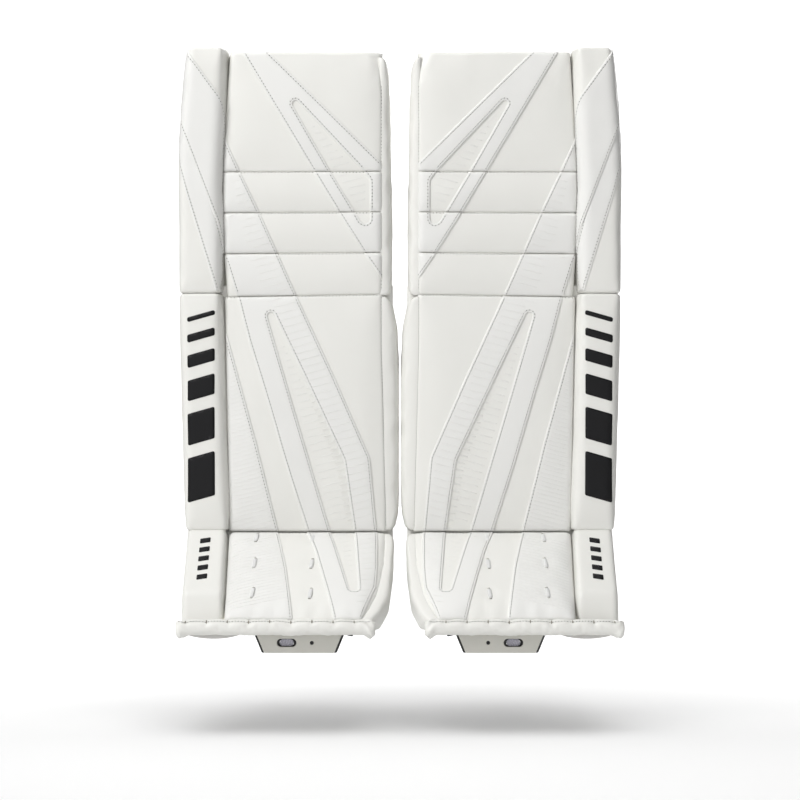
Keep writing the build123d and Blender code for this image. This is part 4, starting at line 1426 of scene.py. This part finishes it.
def wing(name, body, turn):
    """A padded wing that wraps the knee or the calf. turn is 1 if its seam is on the outer side."""
    low, high = span(name)
    depth = 18
    seam, tip = (high.x - depth / 2, low.x) if turn > 0 else (low.x + depth / 2, high.x)
    back = high.y - depth / 2
    wall_pad(name + "_pad", body, [(seam, low.y), (seam, back), (tip, back)], 40, low.z, high.z, depth,
             WHITE, "leather", [name], edge=7, fill=0.7)


def strap(name, body, path, bend_radius, low, high, stands_for):
    """A flat strap of webbing on its edge."""
    wall_pad(name, body, path, bend_radius, low, high, 2.6, TAPE, "webbing", stands_for, edge=0.9)


def on_side(points, faces):
    """A plate drawn in x and z, turned to lie in y and z: its x becomes y."""
    points = points[:, (1, 0, 2)]
    return points, outward(points, faces)


def frame_outline(middle, level, half_y, half_z, radius):
    """A rounded rectangle round a middle."""
    signs = ((-1, -1), (1, -1), (1, 1), (-1, 1))
    return rounded([(middle + i * half_y, level + j * half_z, radius) for i, j in signs])


STRAP_DEPTH = 3.0
CALF_STRAP_WIDTH = 38.0


def make_calf_straps():
    low, high = span("calf_straps")
    outside, lying = high.x - STRAP_DEPTH / 2, high.y - STRAP_DEPTH / 2
    path = [(outside, low.y), (outside, low.y + 64), (222, lying), (low.x, lying)]
    for number, foot in enumerate((low.z, high.z - CALF_STRAP_WIDTH)):
        strap(f"calf_strap_{number}", "calf_wing", path, 11, foot, foot + CALF_STRAP_WIDTH,
              ["calf_straps"][number:])
    low, high = span("calf_buckles")
    opening, wall = CALF_STRAP_WIDTH + 0.8, 2.2
    middle_y = (low.y + high.y) / 2
    half_y, half_z = (high.y - low.y) / 2, opening / 2 + wall
    for number, level in enumerate((low.z + half_z, high.z - half_z)):
        outer = frame_outline(middle_y, level, half_y, half_z, 2.2)
        inner = frame_outline(middle_y, level, half_y - wall, half_z - wall, 0.8)
        points, faces = on_side(*plate(outer, [inner], low.x, high.x, 0.8))
        add_pair(f"calf_buckle_{number}", "calf_wing", points, faces, NYLON, "buckle", crease=40,
                 stands_for=["calf_buckles"][number:])


def make_boot_back():
    low, high = span("boot_channel")
    start, end = 6.0, 128.0
    rows, columns = places(end - start, 6, 4, 5) + start, places(high.x - low.x, 6, 4, 5) + low.x
    x, down = np.meshgrid(columns, rows)
    side = np.minimum(x - low.x, high.x - x)
    fall = drop(side, 4) + drop(np.minimum(down - start, end - down), 4)
    quilting = 1.6 * np.abs(np.sin(math.pi * (down - start) / 30.5))
    near = boot_spot(x, down, -36.6)
    far = boot_spot(x, down, -45.5 + fall - quilting * np.clip(side / 6, 0, 1))
    far[..., 2] = np.maximum(far[..., 2], BOOT_FOOT + 0.5)
    near[..., 2] = np.maximum(near[..., 2], BOOT_FOOT + 0.2)
    points, faces = shell(near, far)
    add_pair("boot_lining", "boot", points, faces, LINING, "lining", fill=0.5, stands_for=["boot_channel"])
    for end_name, x_low in (("inner", low.x), ("outer", high.x - 13)):
        outline = rounded([(-70, BOOT_FOOT + 1.0, 4), (62, BOOT_FOOT + 0.5, 12), (84, BOOT_FOOT + 30, 14),
                           (70, BOOT_BREAK - 18, 12), (14, BOOT_BREAK - 41, 8)])
        points, faces = on_side(*plate(outline, [], x_low + 0.3, x_low + 12.7, 3.5))
        add_pair(f"boot_wall_{end_name}", "boot", points, faces, LINING, "lining", fill=0.6)
    low, high = span("boot_strap")
    half = STRAP_DEPTH / 2
    near, far, back = low.x + half, high.x - half, high.y - half
    path = [(far, low.y), (far, back), (near, back), (near, low.y + 12)]
    strap("boot_strap_tape", "boot_strap", path, 26, low.z, high.z, ["boot_strap"])


def make_cores():
    """The foam boards, a little inside the covers, and the folds that bridge the two breaks."""
    for body, node in (("thigh", "thigh_core"), ("shin", "shin_core")):
        low, high = span(node)
        middle = (low.y + high.y) / 2
        wall_pad(node + "_board", body, [(low.x, middle), (high.x, middle)], 1, low.z + 9, high.z,
                 high.y - low.y - 0.6, WHITE, "leather", [node], edge=3, step=20)
    for name, body, other, level, back in (
        ("knee_fold", "thigh", "shin", KNEE_BREAK, CORE_BACK - 1),
        ("instep_fold", "shin", "boot", BOOT_BREAK, 34),
    ):
        rows, columns = np.linspace(level - 15, level + 15, 13), np.linspace(9, 264, 52)
        x, z = np.meshgrid(columns, rows)
        near = np.stack([x, np.full_like(x, 13.0), z], axis=2)
        fold = 2.5 * np.cos((z - level) / 15 * math.pi)
        far = np.stack([x, back - fold, z], axis=2)
        points, faces = shell(near, far)
        add_pair(name, body, points, faces, WHITE, "leather",
                 bend=(other, (120, 12, level + 14), (120, 12, level - 14)))


# ---------------------------------------------------------------- generic black marks
MARK_STEP = 4.0


def mark(chart, outline, height=0.35):
    """A printed block on a roll: a thin raised patch of one outline."""
    low, high = np.min(outline, axis=0), np.max(outline, axis=0)
    axes = [np.arange(low[k], high[k], MARK_STEP) for k in (0, 1)]
    grid = np.array(list(itertools.product(*axes)))
    points = [*outline, *grid[inside(outline, grid) & (distance([outline], grid) > 1.2)]]
    found, faces = triangulated(points, [(0, len(outline))], [outline])
    seats = [chart.at(*p) for p in found]
    layers = [np.array([spot + off * lift for spot, off in seats]) for lift in (height, -0.5)]
    points, faces = thickened(layers, faces)
    gather("marks", chart.body, points.tolist(), faces)


def make_marks():
    """Slanted bars on the shin's roll, and a row of small ones on the boot's."""
    chart = charts["roll_middle"]
    left, right, slant = 232.5, 267.5, 10.0
    for foot, top in ((180, 236), (252, 292), (308, 334), (350, 366), (382, 392), (408, 414)):
        corners = [(left, foot + slant), (right, foot), (right, top), (left, top + slant)]
        mark(chart, rounded([(*corner, 2) for corner in corners]))
    chart = charts["roll_lower"]
    for k in range(5):
        foot = -30.0 - 17 * k
        corners = [(237, foot), (250, foot - 3), (250, foot + 6), (237, foot + 9)]
        mark(chart, rounded([(*corner, 1) for corner in corners]))


# The needle holes and the eyelets take dark colours that are painted shade.
GATHERED_LOOKS = {
    "stitches": (THREAD, "thread"), "holes": (NEEDLE_HOLE_PAINTED_SHADE, "thread"), "tacks": (TACK_THREAD, "thread"),
    "ribs": (BAND, "leather"), "marks": (PRINT, "marking"), "eyelets": (PAINTED_SHADE_LEATHER, "leather"),
}


def add_gathered():
    for (kind, body), (points, faces) in sorted(gathered.items()):
        finish, slot = GATHERED_LOOKS[kind]
        add_pair(f"{body}_{kind}", body, points, faces, finish, slot, flexes=True)


# ---------------------------------------------------------------- stage
FLOOR = -0.095
CAMERA_DISTANCE = 3.0
CAMERA_HEIGHT = 0.310
LENS = 106.5
# Each softbox is its name, place, width, power, the height it is aimed at, and what it lights.
SOFTBOXES = (
    ("key", (-1.9, -2.0, 2.5), 1.0, 70, 0.42, "pads"),
    ("front", (-0.4, -3.2, 1.2), 1.6, 15, 0.35, "pads"),
    ("rear", (1.2, 3.0, 2.0), 2.0, 60, 0.35, "pads"),
    ("top", (-0.2, -0.2, 2.3), 1.6, 14, 0.0, "pads"),
    ("overhead", (-0.05, -0.1, 2.3), 2.2, 46, 0.0, "floor"),
)
FLOOR_GLOW = (-0.2, 2.2, 0.19, 0.95)  # from the pads to far behind them
WORLD_LIGHT = (-1, 1, 0.40, 0.10)  # from the viewer's left to the right


def make_camera():
    camera = bpy.data.objects.new("camera", bpy.data.cameras.new("camera"))
    camera.data.lens = LENS
    camera.data.sensor_width = 36
    camera.location = (0, DATUM_Y * MM - CAMERA_DISTANCE, CAMERA_HEIGHT)
    camera.rotation_euler = (math.pi / 2, 0, 0)
    bpy.context.scene.collection.objects.link(camera)
    bpy.context.scene.camera = camera


def make_backdrop():
    """White paper on the floor and up behind, which glows more the further back it is."""
    mesh = bpy.data.meshes.new("backdrop")
    wide, near, back, tall = 2.2, -2.6, 6.0, 2.6
    corners = [(x, y, FLOOR) for x in (-wide, wide) for y in (near, back)]
    corners += [(-wide, back, tall), (wide, back, tall)]
    mesh.from_pydata(corners, [], [(0, 2, 3, 1), (1, 3, 5, 4)])
    backdrop = bpy.data.objects.new("backdrop", mesh)
    paper = Finish("pale_paper", (0.90, 0.90, 0.90), 0.9)
    paper.shader.inputs["Emission Color"].default_value = (1, 1, 1, 1)
    split = paper.node("ShaderNodeSeparateXYZ")
    paper.links.new(paper.place(), split.inputs["Vector"])
    glow = ramp(paper, split.outputs["Y"], *FLOOR_GLOW)
    paper.links.new(glow, paper.shader.inputs["Emission Strength"])
    mesh.materials.append(paper.material)
    bpy.context.scene.collection.objects.link(backdrop)
    backdrop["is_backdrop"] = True
    return backdrop


def make_lights(backdrop):
    """Softboxes that light either the pads or the paper, so that the shadow lies under the pads."""
    lit = {}
    for name, state in (("pads", "EXCLUDE"), ("floor", "INCLUDE")):
        lit[name] = bpy.data.collections.new("light_on_" + name)
        lit[name].objects.link(backdrop)
        lit[name].collection_objects[0].light_linking.link_state = state
    for name, place, size, power, aim, target in SOFTBOXES:
        light = bpy.data.objects.new(name, bpy.data.lights.new(name, "AREA"))
        light.data.size = size
        light.data.energy = power
        light.location = place
        light.rotation_euler = (Vector((0, 0, aim)) - Vector(place)).to_track_quat("-Z", "Y").to_euler()
        light.light_linking.receiver_collection = lit[target]
        bpy.context.scene.collection.objects.link(light)


def make_world():
    """Soft light from all round, stronger from the left. Past the backdrop the camera sees white."""
    world = bpy.data.worlds.new("studio")
    world.use_nodes = True
    tree = world.node_tree
    background = tree.nodes["Background"]
    background.inputs["Color"].default_value = (1, 1, 1, 1)
    split = tree.nodes.new("ShaderNodeSeparateXYZ")
    light = ramp(tree, split.outputs["X"], *WORLD_LIGHT)
    tree.links.new(tree.nodes.new("ShaderNodeTexCoord").outputs["Generated"], split.inputs["Vector"])
    seen = tree.nodes.new("ShaderNodeMath")
    seen.operation = "MAXIMUM"
    tree.links.new(light, seen.inputs[0])
    tree.links.new(tree.nodes.new("ShaderNodeLightPath").outputs["Is Camera Ray"], seen.inputs[1])
    tree.links.new(seen.outputs["Value"], background.inputs["Strength"])
    bpy.context.scene.world = world


make_fronts()
make_boot_front()
make_outer_rolls()
make_inner_edges()
make_toe_roll()
make_toe_underside()
make_decoration()
make_roll_layers()
make_seam_stitches()
make_laces()
make_toe_tab()
make_back()
make_cores()
make_marks()
add_gathered()
make_camera()
make_lights(make_backdrop())
make_world()
bpy.context.scene.view_settings.view_transform = "Standard"

boxes = {"cad": cad_box, "visual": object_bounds()}
{key: [list(corner) for corner in value] for key, value in boxes.items()}
